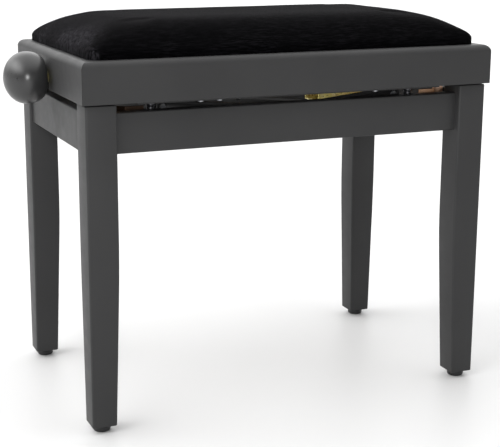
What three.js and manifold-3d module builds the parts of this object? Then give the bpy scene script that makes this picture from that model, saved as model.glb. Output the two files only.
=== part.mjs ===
// Height-adjustable piano bench: a four-legged wooden base, a mitred seat frame with a crowned cushion,
// and a steel scissor lift between them, driven by a threaded spindle with one ball knob.
// Millimetres. +X along the seat, away from the knob; +Y to the back; +Z up. The pieces are drawn about the
// middle of the four legs, and the finished bench is moved along X so that its origin lies on the floor
// under the middle of its whole length, knob included. The seat is at its lowest, resting on its stops.
import * as THREE from 'three';
import { mergeVertices } from 'three/addons/utils/BufferGeometryUtils.js';
import Module from 'manifold-3d';

const wasm = await Module();
wasm.setup();

// ---- Clearances ----
const TOUCH_GAP = 0.3; // left between pieces that rest on each other in turned or cut places
const RUNNING_GAP = 0.3; // radial, round a shaft in its bearing
const LINK_GAP = 1.3; // round the pins of the scissor's open pivots and slides
const LAYER_GAP = 0.7; // between neighbouring flat bars of the scissor

// ---- Seat frame ----
const SEAT_LENGTH = 516;
const SEAT_WIDTH = 310;
const FRAME_BOTTOM = 381.5;
const FRAME_HEIGHT = 47;
const FRAME_RAIL_WIDTH = 24;
const FRAME_ROUND = 8.5;
const MITRE_GAP = 0.3;

// ---- Cushion and its board ----
const CUSHION_INSET = 13;
const CUSHION_HEIGHT = 33;
const CUSHION_EDGE = 2.5;
const CUSHION_CORNER = 14;
const CUSHION_FULLNESS = 3;
const BOARD_INSET = 2; // inside the cushion's edge, for the cloth that wraps it
const BOARD_THICKNESS = 8;

// ---- Legs and glides ----
const LEG_INSET = 4; // from the seat frame's outer faces
const LEG_SIZE = 36;
const LEG_TAPER = 6.5; // taken off each inner face by the foot
const LEG_TAPER_DROP = 150; // below the leg's top, where the taper begins
const LEG_TAPER_EASE = 0.3; // share of the taper's length that is curved
const LEG_EDGE = 2.5;
const LEG_END_BEVEL = 1;
const LEG_TOP_GAP = 1.5; // under the seat frame at its lowest
const GLIDE_RADIUS = 10.25;
const GLIDE_HEIGHT = 8;
const GLIDE_STUD_RADIUS = 2.2;
const GLIDE_STUD_LENGTH = 18;

// ---- Aprons ----
const APRON_HEIGHT = 46;
const APRON_THICKNESS = 18;
const APRON_DROP = 10; // below the legs' tops
const APRON_EDGE = 1.5;
const LONG_APRON_SETBACK = 10; // from the legs' outer faces
const SHORT_APRON_SETBACK = 4;

// ---- Corner brackets ----
const BRACKET_THICKNESS = 2;
const BRACKET_HEIGHT = 44;
const BRACKET_RISE = 4; // above the apron's top
const BRACKET_FLANGE = 22;
const BRACKET_CLEARANCE = 7; // from the leg's inner corner to the web
const HANGER_RADIUS = 3;
const HANGER_DEPTH = 22; // inside the leg
const HANGER_END = 13; // past the web
const WING_NUT_RADIUS = 6;
const WING_NUT_LENGTH = 7;
const WING_SPAN = 30;
const WING_HEIGHT = 9;
const WING_THICKNESS = 2;

// ---- Scissor lift ----
const LIFT_TRAVEL = 90;
const STEEL = 2.5; // sheet thickness of the rails and brackets
const ARM_THICKNESS = 4;
const ARM_RADIUS = 8.5; // of the eye at each end, half the bar's height
const ROD_RADIUS = 4;
const PIVOT_SETBACK = 26; // from the lower rail's end to the fixed pivots
const LOWER_PIVOT_RISE = 13.7; // above the lower rail's lower face
const UPPER_PIVOT_DROP = 10; // below the upper rail's flange
const LOWER_RAIL_GAP = 2.1; // from the lower rail's end to the corner bracket
const LOWER_RAIL_HEIGHT = 26;
const LOWER_RAIL_FLANGE = 26;
const LOWER_RAIL_RISE = 0.3; // above the apron's lower edge
const UPPER_RAIL_OVERLAP = 16; // how much longer than the lower rail, at each end
const UPPER_RAIL_SETBACK = 23; // from the long apron's inner face to the inner face of the rail's plate
const UPPER_RAIL_FLANGE = 46;
const UPPER_RAIL_DEPTH = 5; // of the plate between its two lugs
const LUG_BELOW_PIVOT = 11;
const LUG_HALF = 13;
const TIE_WIDTH = 12;
const TIE_GAP = 1; // from the tie's outer edge to the lower rail's end
const STOP_END_SETBACK = 9; // from the lower rail's end to the stop's axis
const STOP_SIDE_SETBACK = 9; // from the long apron's inner face to the stop's axis
const STOP_RADIUS = 5.5;
const STOP_TIP_RADIUS = 4.5;
const PIN_HEAD_RADIUS = 7;
const PIN_HEAD = 2;
const CARRIAGE_LENGTH = 66;
const CARRIAGE_OVERHANG = 10; // past the slide rod
const CARRIAGE_HALF_WIDTH = 20;
const CARRIAGE_BELOW_ROD = 20;
const CARRIAGE_ABOVE_SPINDLE = 8;
const NUT_LENGTH = 30;
const NUT_HEIGHT = 24;

// ---- Spindle and knob ----
const SPINDLE_RADIUS = 6;
const SPINDLE_RISE = 15; // of its axis above the seat frame's lower edge
const SPINDLE_OVERRUN = 10; // past the far bearing bracket's inner face
const BEARING_SETBACK = 22; // from the upper rail's end to the bracket's inner face
const BEARING_FLANGE = 20;
const BEARING_SIDE_GAP = 3; // from the bracket's end to the seat frame's inner face
const BEARING_STRIP = 8;
const BEARING_EAR_HALF = 18;
const BEARING_EAR_ABOVE = 10;
const NOTCH_CLEARANCE = 2; // round the spindle where it leaves the seat frame
const COLLAR_WALL = 3.7;
const COLLAR_LENGTH = 7;
const WASHER_OVERLAP = 1.2; // of the washer past the notch's side
const WASHER_THICKNESS = 2.5;
const KNOB_RADIUS = 31;
const KNOB_LENGTH = 49;
const KNOB_BACK_RADIUS = 17;
const KNOB_BACK_LENGTH = 22; // from the flat back to the widest ring
const KNOB_BORE_DEPTH = 25;

// ---- What follows from them ----
const seatHalfX = SEAT_LENGTH / 2;
const seatHalfY = SEAT_WIDTH / 2;
const frameTop = FRAME_BOTTOM + FRAME_HEIGHT;
const boardTop = frameTop + BOARD_THICKNESS;
const legTop = FRAME_BOTTOM - LEG_TOP_GAP;
const legOuterX = seatHalfX - LEG_INSET;
const legOuterY = seatHalfY - LEG_INSET;
const legInnerX = legOuterX - LEG_SIZE;
const legInnerY = legOuterY - LEG_SIZE;
const apronTop = legTop - APRON_DROP;
const apronBottom = apronTop - APRON_HEIGHT;
const longApronInnerY = legOuterY - LONG_APRON_SETBACK - APRON_THICKNESS;
const shortApronInnerX = legOuterX - SHORT_APRON_SETBACK - APRON_THICKNESS;
const bracketTop = apronTop + BRACKET_RISE;
const bracketBottom = bracketTop - BRACKET_HEIGHT;
const hangerZ = (bracketTop + bracketBottom) / 2;
const lowerRailBottom = apronBottom + LOWER_RAIL_RISE;
const upperRailTop = FRAME_BOTTOM;
const upperRailBottom = upperRailTop - STEEL;
// x + y on the outer face of a corner bracket's web
const bracketSum = legInnerX + legInnerY - 2 * BRACKET_CLEARANCE * Math.SQRT1_2;
const bracketLongEnd = bracketSum - longApronInnerY - BRACKET_FLANGE;
const bracketShortEnd = bracketSum - shortApronInnerX - BRACKET_FLANGE;
const lowerRailHalf = bracketLongEnd - LOWER_RAIL_GAP;
const upperRailHalf = lowerRailHalf + UPPER_RAIL_OVERLAP;
const upperRailY = longApronInnerY - UPPER_RAIL_SETBACK; // inner face of the rails' plates
const pivotX = PIVOT_SETBACK - lowerRailHalf; // of the two fixed pivots
const armLength = -2 * pivotX; // between the end pivots
const lowerPivotZ = lowerRailBottom + LOWER_PIVOT_RISE;
const upperPivotZ = upperRailBottom - UPPER_PIVOT_DROP;
const stopX = lowerRailHalf - STOP_END_SETBACK;
const stopY = longApronInnerY - STOP_SIDE_SETBACK;
const bearingX = upperRailHalf - BEARING_SETBACK; // inner face of each bearing bracket
const bearingHalfY = seatHalfY - FRAME_RAIL_WIDTH - BEARING_SIDE_GAP;
const notchHalfWidth = SPINDLE_RADIUS + NOTCH_CLEARANCE;
const collarRadius = SPINDLE_RADIUS + RUNNING_GAP + COLLAR_WALL;
const washerRadius = notchHalfWidth + WASHER_OVERLAP;
const closedAngle = Math.asin((upperPivotZ - lowerPivotZ) / armLength);
const openAngle = Math.asin((upperPivotZ - lowerPivotZ + LIFT_TRAVEL) / armLength);
const slideX = pivotX + armLength * Math.cos(closedAngle);
const slideTravel = armLength * (Math.cos(closedAngle) - Math.cos(openAngle));
const innerArmY = upperRailY + STEEL + LAYER_GAP; // inner face of the arms that hang on the seat
const outerArmY = innerArmY + ARM_THICKNESS + LAYER_GAP; // inner face of the arms that stand on the base
const rodEndY = longApronInnerY - TOUCH_GAP;
const spindleZ = FRAME_BOTTOM + SPINDLE_RISE;
const knobBackX = -seatHalfX - WASHER_THICKNESS - 2 * TOUCH_GAP;

// ---- Finishes ----
const finish = (color, roughness, metalness) =>
  new THREE.MeshStandardMaterial({ color, roughness, metalness });
const lacquer = () => finish(0x424244, 0.42, 0);
const knobLacquer = () => finish(0x3c3c3e, 0.35, 0);
const velvet = () => finish(0x0b0b0d, 0.95, 0);
const plywood = () => finish(0xb58a5a, 0.8, 0);
const blackSteel = () => finish(0x232325, 0.5, 0.7);
const zinc = () => finish(0xb9bcc0, 0.3, 1);
const yellowZinc = () => finish(0xc8a545, 0.35, 1);
const copperZinc = () => finish(0xc07a48, 0.4, 1);
const glidePlastic = () => finish(0x151516, 0.5, 0);

// ---- Geometry helpers ----

/** A closed geometry as a manifold solid. */
function toSolid(geometry) {
  const bare = geometry.clone();
  bare.deleteAttribute('normal');
  bare.deleteAttribute('uv');
  const merged = mergeVertices(bare, 1e-4);
  const index = merged.index.array;
  const triangles = [];
  for (let i = 0; i < index.length; i += 3) {
    const [a, b, c] = [index[i], index[i + 1], index[i + 2]];
    if (a !== b && b !== c && c !== a) triangles.push(a, b, c);
  }
  const vertProperties = Float32Array.from(merged.attributes.position.array);
  const mesh = new wasm.Mesh({ numProp: 3, vertProperties, triVerts: Uint32Array.from(triangles) });
  return new wasm.Manifold(mesh);
}

/** A manifold solid as a geometry. */
function toGeometry(solid) {
  const mesh = solid.getMesh();
  const geometry = new THREE.BufferGeometry();
  geometry.setAttribute('position', new THREE.BufferAttribute(Float32Array.from(mesh.vertProperties), 3));
  geometry.setIndex(new THREE.BufferAttribute(Uint32Array.from(mesh.triVerts), 1));
  geometry.computeVertexNormals();
  return geometry;
}

const cut = (geometry, ...tools) =>
  toGeometry(tools.reduce((solid, tool) => solid.subtract(toSolid(tool)), toSolid(geometry)));
const join = (geometry, ...others) =>
  toGeometry(others.reduce((solid, other) => solid.add(toSolid(other)), toSolid(geometry)));

const points = (pairs) => pairs.map(([x, y]) => new THREE.Vector2(x, y));
const outline = (pairs) => new THREE.Shape(points(pairs));
const AXIS_X = new THREE.Vector3(1, 0, 0);
const AXIS_Y = new THREE.Vector3(0, 1, 0);
const AXIS_Z = new THREE.Vector3(0, 0, 1);

/** Extrudes a shape drawn in (x, y) from z0 to z1. */
function alongZ(shape, z0, z1, curveSegments = 6) {
  const geometry = new THREE.ExtrudeGeometry(shape, { depth: z1 - z0, bevelEnabled: false, curveSegments });
  return geometry.translate(0, 0, z0);
}

/** Extrudes a shape drawn in (y, z) from x0 to x1. */
function alongX(shape, x0, x1, curveSegments = 6) {
  const geometry = new THREE.ExtrudeGeometry(shape, { depth: x1 - x0, bevelEnabled: false, curveSegments });
  geometry.applyMatrix4(new THREE.Matrix4().makeBasis(AXIS_Y, AXIS_Z, AXIS_X));
  return geometry.translate(x0, 0, 0);
}

/** Extrudes a shape drawn in (x, z) from y0 to y1. */
function alongY(shape, y0, y1, curveSegments = 6) {
  const geometry = new THREE.ExtrudeGeometry(shape, { depth: y1 - y0, bevelEnabled: false, curveSegments });
  return geometry.rotateX(Math.PI / 2).translate(0, y1, 0);
}

/** A round bar along an axis of the frame, from one coordinate to the other on that axis. */
function bar(axis, radius, from, to, segments = 16) {
  const geometry = new THREE.CylinderGeometry(radius, radius, to - from, segments);
  if (axis === 'x') geometry.rotateZ(-Math.PI / 2).translate((from + to) / 2, 0, 0);
  if (axis === 'y') geometry.translate(0, (from + to) / 2, 0);
  if (axis === 'z') geometry.rotateX(Math.PI / 2).translate(0, 0, (from + to) / 2);
  return geometry;
}

/** A block between two corners. */
function block([x0, y0, z0], [x1, y1, z1]) {
  const geometry = new THREE.BoxGeometry(x1 - x0, y1 - y0, z1 - z0);
  return geometry.translate((x0 + x1) / 2, (y0 + y1) / 2, (z0 + z1) / 2);
}

/** Turns a profile of [radius, height] pairs round the Z axis. */
function turned(profile, segments = 24) {
  return toGeometry(toSolid(new THREE.LatheGeometry(points(profile), segments).rotateX(Math.PI / 2)));
}

/** The outline of a rectangle with round corners, as [x, y] pairs that run anticlockwise. */
function roundedRectangle(x0, y0, x1, y1, radius, steps) {
  const corners = [[x1, y1, 0], [x0, y1, 1], [x0, y0, 2], [x1, y0, 3]];
  return corners.flatMap(([x, y, quarter]) => {
    const centreX = x === x1 ? x1 - radius : x0 + radius;
    const centreY = y === y1 ? y1 - radius : y0 + radius;
    return Array.from({ length: steps + 1 }, (_, i) => {
      const angle = (quarter + i / steps) * Math.PI / 2;
      return [centreX + radius * Math.cos(angle), centreY + radius * Math.sin(angle)];
    });
  });
}

/** Joins rings of equally many points, each { z, ring }, into one closed skin with flat ends. */
function loft(levels) {
  const count = levels[0].ring.length;
  const position = levels.flatMap(({ z, ring }) => ring.flatMap(([x, y]) => [x, y, z]));
  const index = [];
  for (let level = 0; level + 1 < levels.length; level += 1) {
    for (let i = 0; i < count; i += 1) {
      const a = level * count + i;
      const b = level * count + (i + 1) % count;
      index.push(a, b, b + count, a, b + count, a + count);
    }
  }
  const last = (levels.length - 1) * count;
  for (let i = 1; i + 1 < count; i += 1) {
    index.push(0, i + 1, i);
    index.push(last, last + i, last + i + 1);
  }
  const geometry = new THREE.BufferGeometry();
  geometry.setAttribute('position', new THREE.Float32BufferAttribute(position, 3));
  geometry.setIndex(index);
  geometry.computeVertexNormals();
  return geometry;
}

/** A named mesh. */
function part(name, geometry, material) {
  const mesh = new THREE.Mesh(geometry, material);
  mesh.name = name;
  return mesh;
}

// ---- Corners and sides, for what repeats ----
const CORNERS = [
  { name: 'front_left', x: -1, y: -1, turn: 0 },
  { name: 'front_right', x: 1, y: -1, turn: 1 },
  { name: 'rear_right', x: 1, y: 1, turn: 2 },
  { name: 'rear_left', x: -1, y: 1, turn: 3 },
];
const SIDES = [
  { name: 'front', y: -1 },
  { name: 'rear', y: 1 },
];

// ---- Base: legs, glides, aprons ----

/** How wide the leg is at a height above the floor: straight at the top, then an eased taper. */
function legWidth(z) {
  const start = legTop - LEG_TAPER_DROP;
  const t = Math.max(0, (start - z) / (start - GLIDE_HEIGHT));
  const eased = t < LEG_TAPER_EASE ? t * t / (2 * LEG_TAPER_EASE) : t - LEG_TAPER_EASE / 2;
  return LEG_SIZE - LEG_TAPER * eased / (1 - LEG_TAPER_EASE / 2);
}

/** One leg, its outer corner on the Z axis and its two tapered faces towards +X and +Y. */
function legGeometry() {
  const taperStart = legTop - LEG_TAPER_DROP;
  const easeEnd = taperStart - LEG_TAPER_EASE * (taperStart - GLIDE_HEIGHT);
  const easeSteps = [0, 1 / 3, 2 / 3, 1].map((s) => easeEnd + s * (taperStart - easeEnd));
  const heights = [GLIDE_HEIGHT + LEG_END_BEVEL, ...easeSteps, legTop - LEG_END_BEVEL];
  const ring = (z, inset) =>
    roundedRectangle(inset, inset, legWidth(z) - inset, legWidth(z) - inset, LEG_EDGE - inset, 3);
  const levels = [
    { z: GLIDE_HEIGHT, ring: ring(GLIDE_HEIGHT, LEG_END_BEVEL) },
    ...heights.map((z) => ({ z, ring: ring(z, 0) })),
    { z: legTop, ring: ring(legTop, LEG_END_BEVEL) },
  ];
  const footMiddle = legWidth(GLIDE_HEIGHT) / 2;
  const studEnd = GLIDE_HEIGHT + GLIDE_STUD_LENGTH + 1;
  const studHole = bar('z', GLIDE_STUD_RADIUS + RUNNING_GAP, GLIDE_HEIGHT - 1, studEnd, 12)
    .translate(footMiddle, footMiddle, 0);
  const boltHole = bar('x', HANGER_RADIUS + RUNNING_GAP, -HANGER_DEPTH - 1, LEG_EDGE, 12)
    .rotateZ(Math.PI / 4)
    .translate(LEG_SIZE, LEG_SIZE, hangerZ);
  return cut(loft(levels), studHole, boltHole);
}

/** A floor glide with its stud, standing on the Z axis. */
function glideGeometry() {
  const studTop = GLIDE_HEIGHT + GLIDE_STUD_LENGTH;
  return turned([
    [0, 0],
    [GLIDE_RADIUS - 2, 0],
    [GLIDE_RADIUS - 0.6, 0.8],
    [GLIDE_RADIUS, 2.2],
    [GLIDE_RADIUS, GLIDE_HEIGHT],
    [GLIDE_STUD_RADIUS, GLIDE_HEIGHT],
    [GLIDE_STUD_RADIUS, studTop],
    [0, studTop],
  ], 20);
}

/** An apron's section, from its outer face at 0 inwards, with softened lower edges. */
function apronSection(outer, inward) {
  const inner = outer + inward * APRON_THICKNESS;
  const e = APRON_EDGE;
  return outline([
    [outer, apronBottom + e],
    [outer + inward * e, apronBottom],
    [inner - inward * e, apronBottom],
    [inner, apronBottom + e],
    [inner, apronTop],
    [outer + inward * e, apronTop],
    [outer, apronTop - e],
  ]);
}

function addLegs(base) {
  const footMiddle = legWidth(GLIDE_HEIGHT) / 2;
  for (const corner of CORNERS) {
    const leg = part(`leg_${corner.name}`, legGeometry(), lacquer());
    leg.position.set(corner.x * legOuterX, corner.y * legOuterY, 0);
    leg.rotation.z = corner.turn * Math.PI / 2;
    const glide = part(`glide_${corner.name}`, glideGeometry(), glidePlastic());
    glide.position.set(corner.x * (legOuterX - footMiddle), corner.y * (legOuterY - footMiddle), 0);
    base.add(leg, glide);
  }
}

function addAprons(base) {
  for (const side of SIDES) {
    const section = apronSection(side.y * (legOuterY - LONG_APRON_SETBACK), -side.y);
    base.add(part(`apron_${side.name}`, alongX(section, -legInnerX, legInnerX), lacquer()));
  }
  for (const [name, x] of [['left', -1], ['right', 1]]) {
    const section = apronSection(x * (legOuterX - SHORT_APRON_SETBACK), -x);
    base.add(part(`apron_${name}`, alongY(section, -legInnerY, legInnerY), lacquer()));
  }
}

// ---- Base: corner brackets with their hanger bolts ----

/** The bent plate that ties a long apron, a short apron and the leg's bolt together. */
function cornerBracketGeometry({ x, y }) {
  const t = BRACKET_THICKNESS;
  const innerSum = bracketSum - t * Math.SQRT2;
  const plan = [
    [bracketLongEnd, longApronInnerY],
    [bracketSum - longApronInnerY, longApronInnerY],
    [shortApronInnerX, bracketSum - shortApronInnerX],
    [shortApronInnerX, bracketShortEnd],
    [shortApronInnerX - t, bracketShortEnd],
    [shortApronInnerX - t, innerSum - shortApronInnerX + t],
    [innerSum - longApronInnerY + t, longApronInnerY - t],
    [bracketLongEnd, longApronInnerY - t],
  ];
  const plate = alongZ(outline(plan.map(([px, py]) => [x * px, y * py])), bracketBottom, bracketTop);
  const reach = BRACKET_CLEARANCE + 2 * t;
  const hole = bar('x', HANGER_RADIUS + RUNNING_GAP, 0, reach, 12)
    .rotateZ(Math.atan2(-y, -x))
    .translate(x * legInnerX, y * legInnerY, hangerZ);
  return cut(plate, hole);
}

/** A wing nut on the X axis, its seat at x = 0 and its wings standing up and down. */
function wingNutGeometry() {
  const hub = bar('x', WING_NUT_RADIUS, 0, WING_NUT_LENGTH);
  const half = WING_SPAN / 2;
  const tip = WING_NUT_LENGTH + WING_HEIGHT;
  const wings = alongY(outline([
    [WING_NUT_LENGTH, 5], [tip, half - 2], [tip - 3, half], [3, WING_NUT_RADIUS + 2],
    [3, -WING_NUT_RADIUS - 2], [tip - 3, -half], [tip, 2 - half], [WING_NUT_LENGTH, -5],
  ]), -WING_THICKNESS / 2, WING_THICKNESS / 2);
  const bore = bar('x', HANGER_RADIUS + RUNNING_GAP, -1, tip + 1, 12);
  return cut(join(hub, wings), bore);
}

function addCornerBrackets(base) {
  const boltEnd = BRACKET_CLEARANCE + BRACKET_THICKNESS + HANGER_END;
  const nutStart = BRACKET_CLEARANCE + BRACKET_THICKNESS + TOUCH_GAP;
  for (const corner of CORNERS) {
    base.add(part(`corner_bracket_${corner.name}`, cornerBracketGeometry(corner), copperZinc()));
    const fastening = new THREE.Group();
    fastening.position.set(corner.x * legInnerX, corner.y * legInnerY, hangerZ);
    fastening.rotation.z = Math.atan2(-corner.y, -corner.x);
    const bolt = part(`hanger_bolt_${corner.name}`, bar('x', HANGER_RADIUS, -HANGER_DEPTH, boltEnd, 12), zinc());
    const nut = part(`wing_nut_${corner.name}`, wingNutGeometry(), zinc());
    nut.position.x = nutStart;
    fastening.add(bolt, nut);
    base.add(fastening);
  }
}

// ---- Base: the lift's lower rails ----

/** A slot along X with round ends, drawn in (x, z). */
function slotShape(x0, x1, z, radius) {
  const shape = new THREE.Shape();
  shape.absarc(x1, z, radius, -Math.PI / 2, Math.PI / 2, false);
  shape.absarc(x0, z, radius, Math.PI / 2, 3 * Math.PI / 2, false);
  return shape;
}

/** An angle rail on a long apron's inner face, with a pivot hole and a slide slot in its upright. */
function lowerRailGeometry(side) {
  const outer = longApronInnerY;
  const section = outline([
    [outer, 0], [outer, LOWER_RAIL_HEIGHT], [outer - STEEL, LOWER_RAIL_HEIGHT],
    [outer - STEEL, STEEL], [outer - LOWER_RAIL_FLANGE, STEEL], [outer - LOWER_RAIL_FLANGE, 0],
  ].map(([y, z]) => [side * y, lowerRailBottom + z]));
  const rail = alongX(section, -lowerRailHalf, lowerRailHalf);
  const [y0, y1] = side < 0 ? [-outer - 1, -outer + STEEL + 1] : [outer - STEEL - 1, outer + 1];
  const hole = bar('y', ROD_RADIUS + RUNNING_GAP, y0, y1).translate(pivotX, 0, lowerPivotZ);
  const radius = ROD_RADIUS + LINK_GAP;
  const slot = alongY(slotShape(slideX - slideTravel, slideX, lowerPivotZ, radius), y0, y1, 8);
  return cut(rail, hole, slot);
}

/** A turned stop post for the seat, standing on its foot. */
function stopGeometry() {
  const foot = lowerRailBottom + STEEL;
  const tip = upperRailBottom - TOUCH_GAP;
  return turned([
    [0, foot], [STOP_RADIUS, foot], [STOP_TIP_RADIUS, tip - 8], [STOP_RADIUS, tip - 7],
    [STOP_RADIUS, tip - 1], [STOP_RADIUS - 1, tip], [0, tip],
  ], 16);
}

function addLowerLift(base) {
  for (const side of SIDES) {
    base.add(part(`lower_rail_${side.name}`, lowerRailGeometry(side.y), blackSteel()));
    for (const [name, x] of [['left', -1], ['right', 1]]) {
      const stop = part(`lift_stop_${side.name}_${name}`, stopGeometry(), zinc());
      stop.position.set(x * stopX, side.y * stopY, 0);
      base.add(stop);
    }
  }
  const tieBottom = lowerRailBottom + STEEL;
  const tieHalfY = stopY - STOP_RADIUS - 1.5;
  for (const [name, x] of [['left', -1], ['right', 1]]) {
    const outer = x * (lowerRailHalf - TIE_GAP);
    const inner = outer - x * TIE_WIDTH;
    const low = [Math.min(outer, inner), -tieHalfY, tieBottom];
    const high = [Math.max(outer, inner), tieHalfY, tieBottom + STEEL];
    base.add(part(`lower_tie_${name}`, block(low, high), blackSteel()));
  }
  const rod = part('lower_pivot_rod', bar('y', ROD_RADIUS, -rodEndY, rodEndY), zinc());
  rod.position.set(pivotX, 0, lowerPivotZ);
  base.add(rod);
}

// ---- Seat: frame, board, cushion ----

/** A frame rail's section: 0 is the outer face, inwards is positive, z from the frame's lower edge. */
function frameSection() {
  const shape = new THREE.Shape();
  shape.moveTo(0, 0);
  shape.lineTo(FRAME_RAIL_WIDTH, 0);
  shape.lineTo(FRAME_RAIL_WIDTH, FRAME_HEIGHT);
  shape.lineTo(FRAME_ROUND, FRAME_HEIGHT);
  shape.absarc(FRAME_ROUND, FRAME_HEIGHT - FRAME_ROUND, FRAME_ROUND, Math.PI / 2, Math.PI, false);
  return shape;
}

/** A straight rail along X with its outer face on y = 0 and both ends mitred. */
function mitredRail(halfLength) {
  const rail = alongX(frameSection(), -halfLength, halfLength, 8);
  const beyond = 2 * FRAME_RAIL_WIDTH;
  const cutBack = MITRE_GAP * Math.SQRT1_2;
  const wedge = (x) => alongZ(outline([
    [x * (halfLength - cutBack + beyond), -beyond],
    [x * (halfLength - cutBack + beyond), beyond],
    [x * (halfLength - cutBack - beyond), beyond],
  ]), -1, FRAME_HEIGHT + 1);
  return cut(rail, wedge(-1), wedge(1));
}

function addSeatFrame(seat) {
  const rails = [
    ['front', seatHalfX, 0, -seatHalfY, 0],
    ['right', seatHalfY, seatHalfX, 0, 1],
    ['rear', seatHalfX, 0, seatHalfY, 2],
    ['left', seatHalfY, -seatHalfX, 0, 3],
  ];
  for (const [name, halfLength, x, y, turn] of rails) {
    const plain = mitredRail(halfLength);
    const geometry = name === 'left' ? cut(plain, spindleNotch()) : plain;
    const rail = part(`seat_rail_${name}`, geometry, lacquer());
    rail.position.set(x, y, FRAME_BOTTOM);
    rail.rotation.z = turn * Math.PI / 2;
    seat.add(rail);
  }
}

/** The open-bottomed notch that the spindle leaves the left rail through, in the rail's own frame. */
function spindleNotch() {
  const shape = new THREE.Shape();
  shape.moveTo(notchHalfWidth, -1);
  shape.lineTo(notchHalfWidth, SPINDLE_RISE);
  shape.absarc(0, SPINDLE_RISE, notchHalfWidth, 0, Math.PI, false);
  shape.lineTo(-notchHalfWidth, -1);
  return alongY(shape, -1, FRAME_RAIL_WIDTH + 1, 12);
}

/** The cushion as rings that rise from its edge to a ridge along its middle. */
function cushionGeometry() {
  const halfX = seatHalfX - CUSHION_INSET;
  const halfY = seatHalfY - CUSHION_INSET;
  const bottom = boardTop + TOUCH_GAP;
  const crown = CUSHION_HEIGHT - CUSHION_EDGE;
  const ringAt = (inset) => {
    const radius = Math.max(2, CUSHION_CORNER - inset / 4);
    return roundedRectangle(inset - halfX, inset - halfY, halfX - inset, halfY - inset, radius, 4);
  };
  const rise = (inset) => crown * (1 - (1 - inset / halfY) ** CUSHION_FULLNESS);
  const insets = [0, 4, 12, 26, 45, 68, 95, 125].filter((inset) => inset < halfY - 4);
  return loft([
    { z: bottom, ring: ringAt(0) },
    ...insets.map((inset) => ({ z: bottom + CUSHION_EDGE + rise(inset), ring: ringAt(inset) })),
  ]);
}

function addSeatPad(seat) {
  const inset = CUSHION_INSET + BOARD_INSET;
  const halfX = seatHalfX - inset;
  const halfY = seatHalfY - inset;
  const plan = outline(roundedRectangle(-halfX, -halfY, halfX, halfY, CUSHION_CORNER - BOARD_INSET, 4));
  seat.add(part('seat_board', alongZ(plan, frameTop, boardTop), plywood()));
  seat.add(part('cushion', cushionGeometry(), velvet()));
}

// ---- Seat: the lift's upper rails and bearing brackets ----

/** An angle rail under the seat frame, with two lugs that carry the pivot and the slide. */
function upperRailGeometry(side) {
  const inner = upperRailY;
  const flangeLow = [-upperRailHalf, inner, upperRailBottom];
  const flangeHigh = [upperRailHalf, inner + UPPER_RAIL_FLANGE, upperRailTop];
  const lugBottom = upperPivotZ - LUG_BELOW_PIVOT;
  const plateBottom = upperRailBottom - UPPER_RAIL_DEPTH;
  const pivotLug = [pivotX - LUG_HALF, pivotX + LUG_HALF];
  const slideLug = [slideX - slideTravel - LUG_HALF, slideX + LUG_HALF];
  const plate = alongY(outline([
    [-upperRailHalf, upperRailTop], [-upperRailHalf, plateBottom], [pivotLug[0], plateBottom],
    [pivotLug[0] + 3, lugBottom], [pivotLug[1] - 3, lugBottom], [pivotLug[1], plateBottom],
    [slideLug[0], plateBottom], [slideLug[0] + 3, lugBottom], [slideLug[1] - 3, lugBottom],
    [slideLug[1], plateBottom], [upperRailHalf, plateBottom], [upperRailHalf, upperRailTop],
  ]), inner, inner + STEEL);
  const rail = join(block(flangeLow, flangeHigh), plate);
  const [y0, y1] = [inner - 1, inner + STEEL + 1];
  const hole = bar('y', ROD_RADIUS + RUNNING_GAP, y0, y1).translate(pivotX, 0, upperPivotZ);
  const radius = ROD_RADIUS + LINK_GAP;
  const slot = alongY(slotShape(slideX - slideTravel, slideX, upperPivotZ, radius), y0, y1, 8);
  const finished = cut(rail, hole, slot);
  if (side > 0) return finished;
  return toGeometry(toSolid(finished).mirror([0, 1, 0]));
}

/** The bracket across the upper rails that carries the spindle; its inner face is on x = 0, flange to +X. */
function bearingBracketGeometry() {
  const y = bearingHalfY;
  const ear = BEARING_EAR_HALF;
  const earTop = SPINDLE_RISE + BEARING_EAR_ABOVE;
  const upright = alongX(outline([
    [-y, 0], [y, 0], [y, BEARING_STRIP], [ear + 6, BEARING_STRIP], [ear, earTop - 6], [ear - 6, earTop],
    [6 - ear, earTop], [-ear, earTop - 6], [-ear - 6, BEARING_STRIP], [-y, BEARING_STRIP],
  ]), 0, STEEL);
  const flange = block([0, -y, 0], [BEARING_FLANGE, y, STEEL]);
  const hole = bar('x', SPINDLE_RADIUS + RUNNING_GAP, -1, STEEL + 1, 20).translate(0, 0, SPINDLE_RISE);
  return cut(join(upright, flange), hole);
}

function addUpperLift(seat) {
  for (const side of SIDES) {
    seat.add(part(`upper_rail_${side.name}`, upperRailGeometry(side.y), blackSteel()));
  }
  for (const [name, x] of [['left', -1], ['right', 1]]) {
    const bracket = part(`bearing_bracket_${name}`, bearingBracketGeometry(), blackSteel());
    bracket.position.set(x * bearingX, 0, upperRailTop);
    bracket.rotation.z = x < 0 ? Math.PI : 0;
    seat.add(bracket);
  }
  const rodHalf = innerArmY + ARM_THICKNESS + LAYER_GAP / 2;
  const rod = part('upper_pivot_rod', bar('y', ROD_RADIUS, -rodHalf, rodHalf), zinc());
  rod.position.set(pivotX, 0, upperPivotZ);
  seat.add(rod);
}

// ---- Scissor arms ----

/** A flat bar with an eye at each end, drawn along +X from its first pivot, from y = 0 to its thickness. */
function armGeometry(holes) {
  const shape = new THREE.Shape();
  shape.absarc(armLength, 0, ARM_RADIUS, -Math.PI / 2, Math.PI / 2, false);
  shape.absarc(0, 0, ARM_RADIUS, Math.PI / 2, 3 * Math.PI / 2, false);
  const tools = holes.map(([x, radius]) => bar('y', radius, -1, ARM_THICKNESS + 1).translate(x, 0, 0));
  return cut(alongY(shape, 0, ARM_THICKNESS), ...tools);
}

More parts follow.
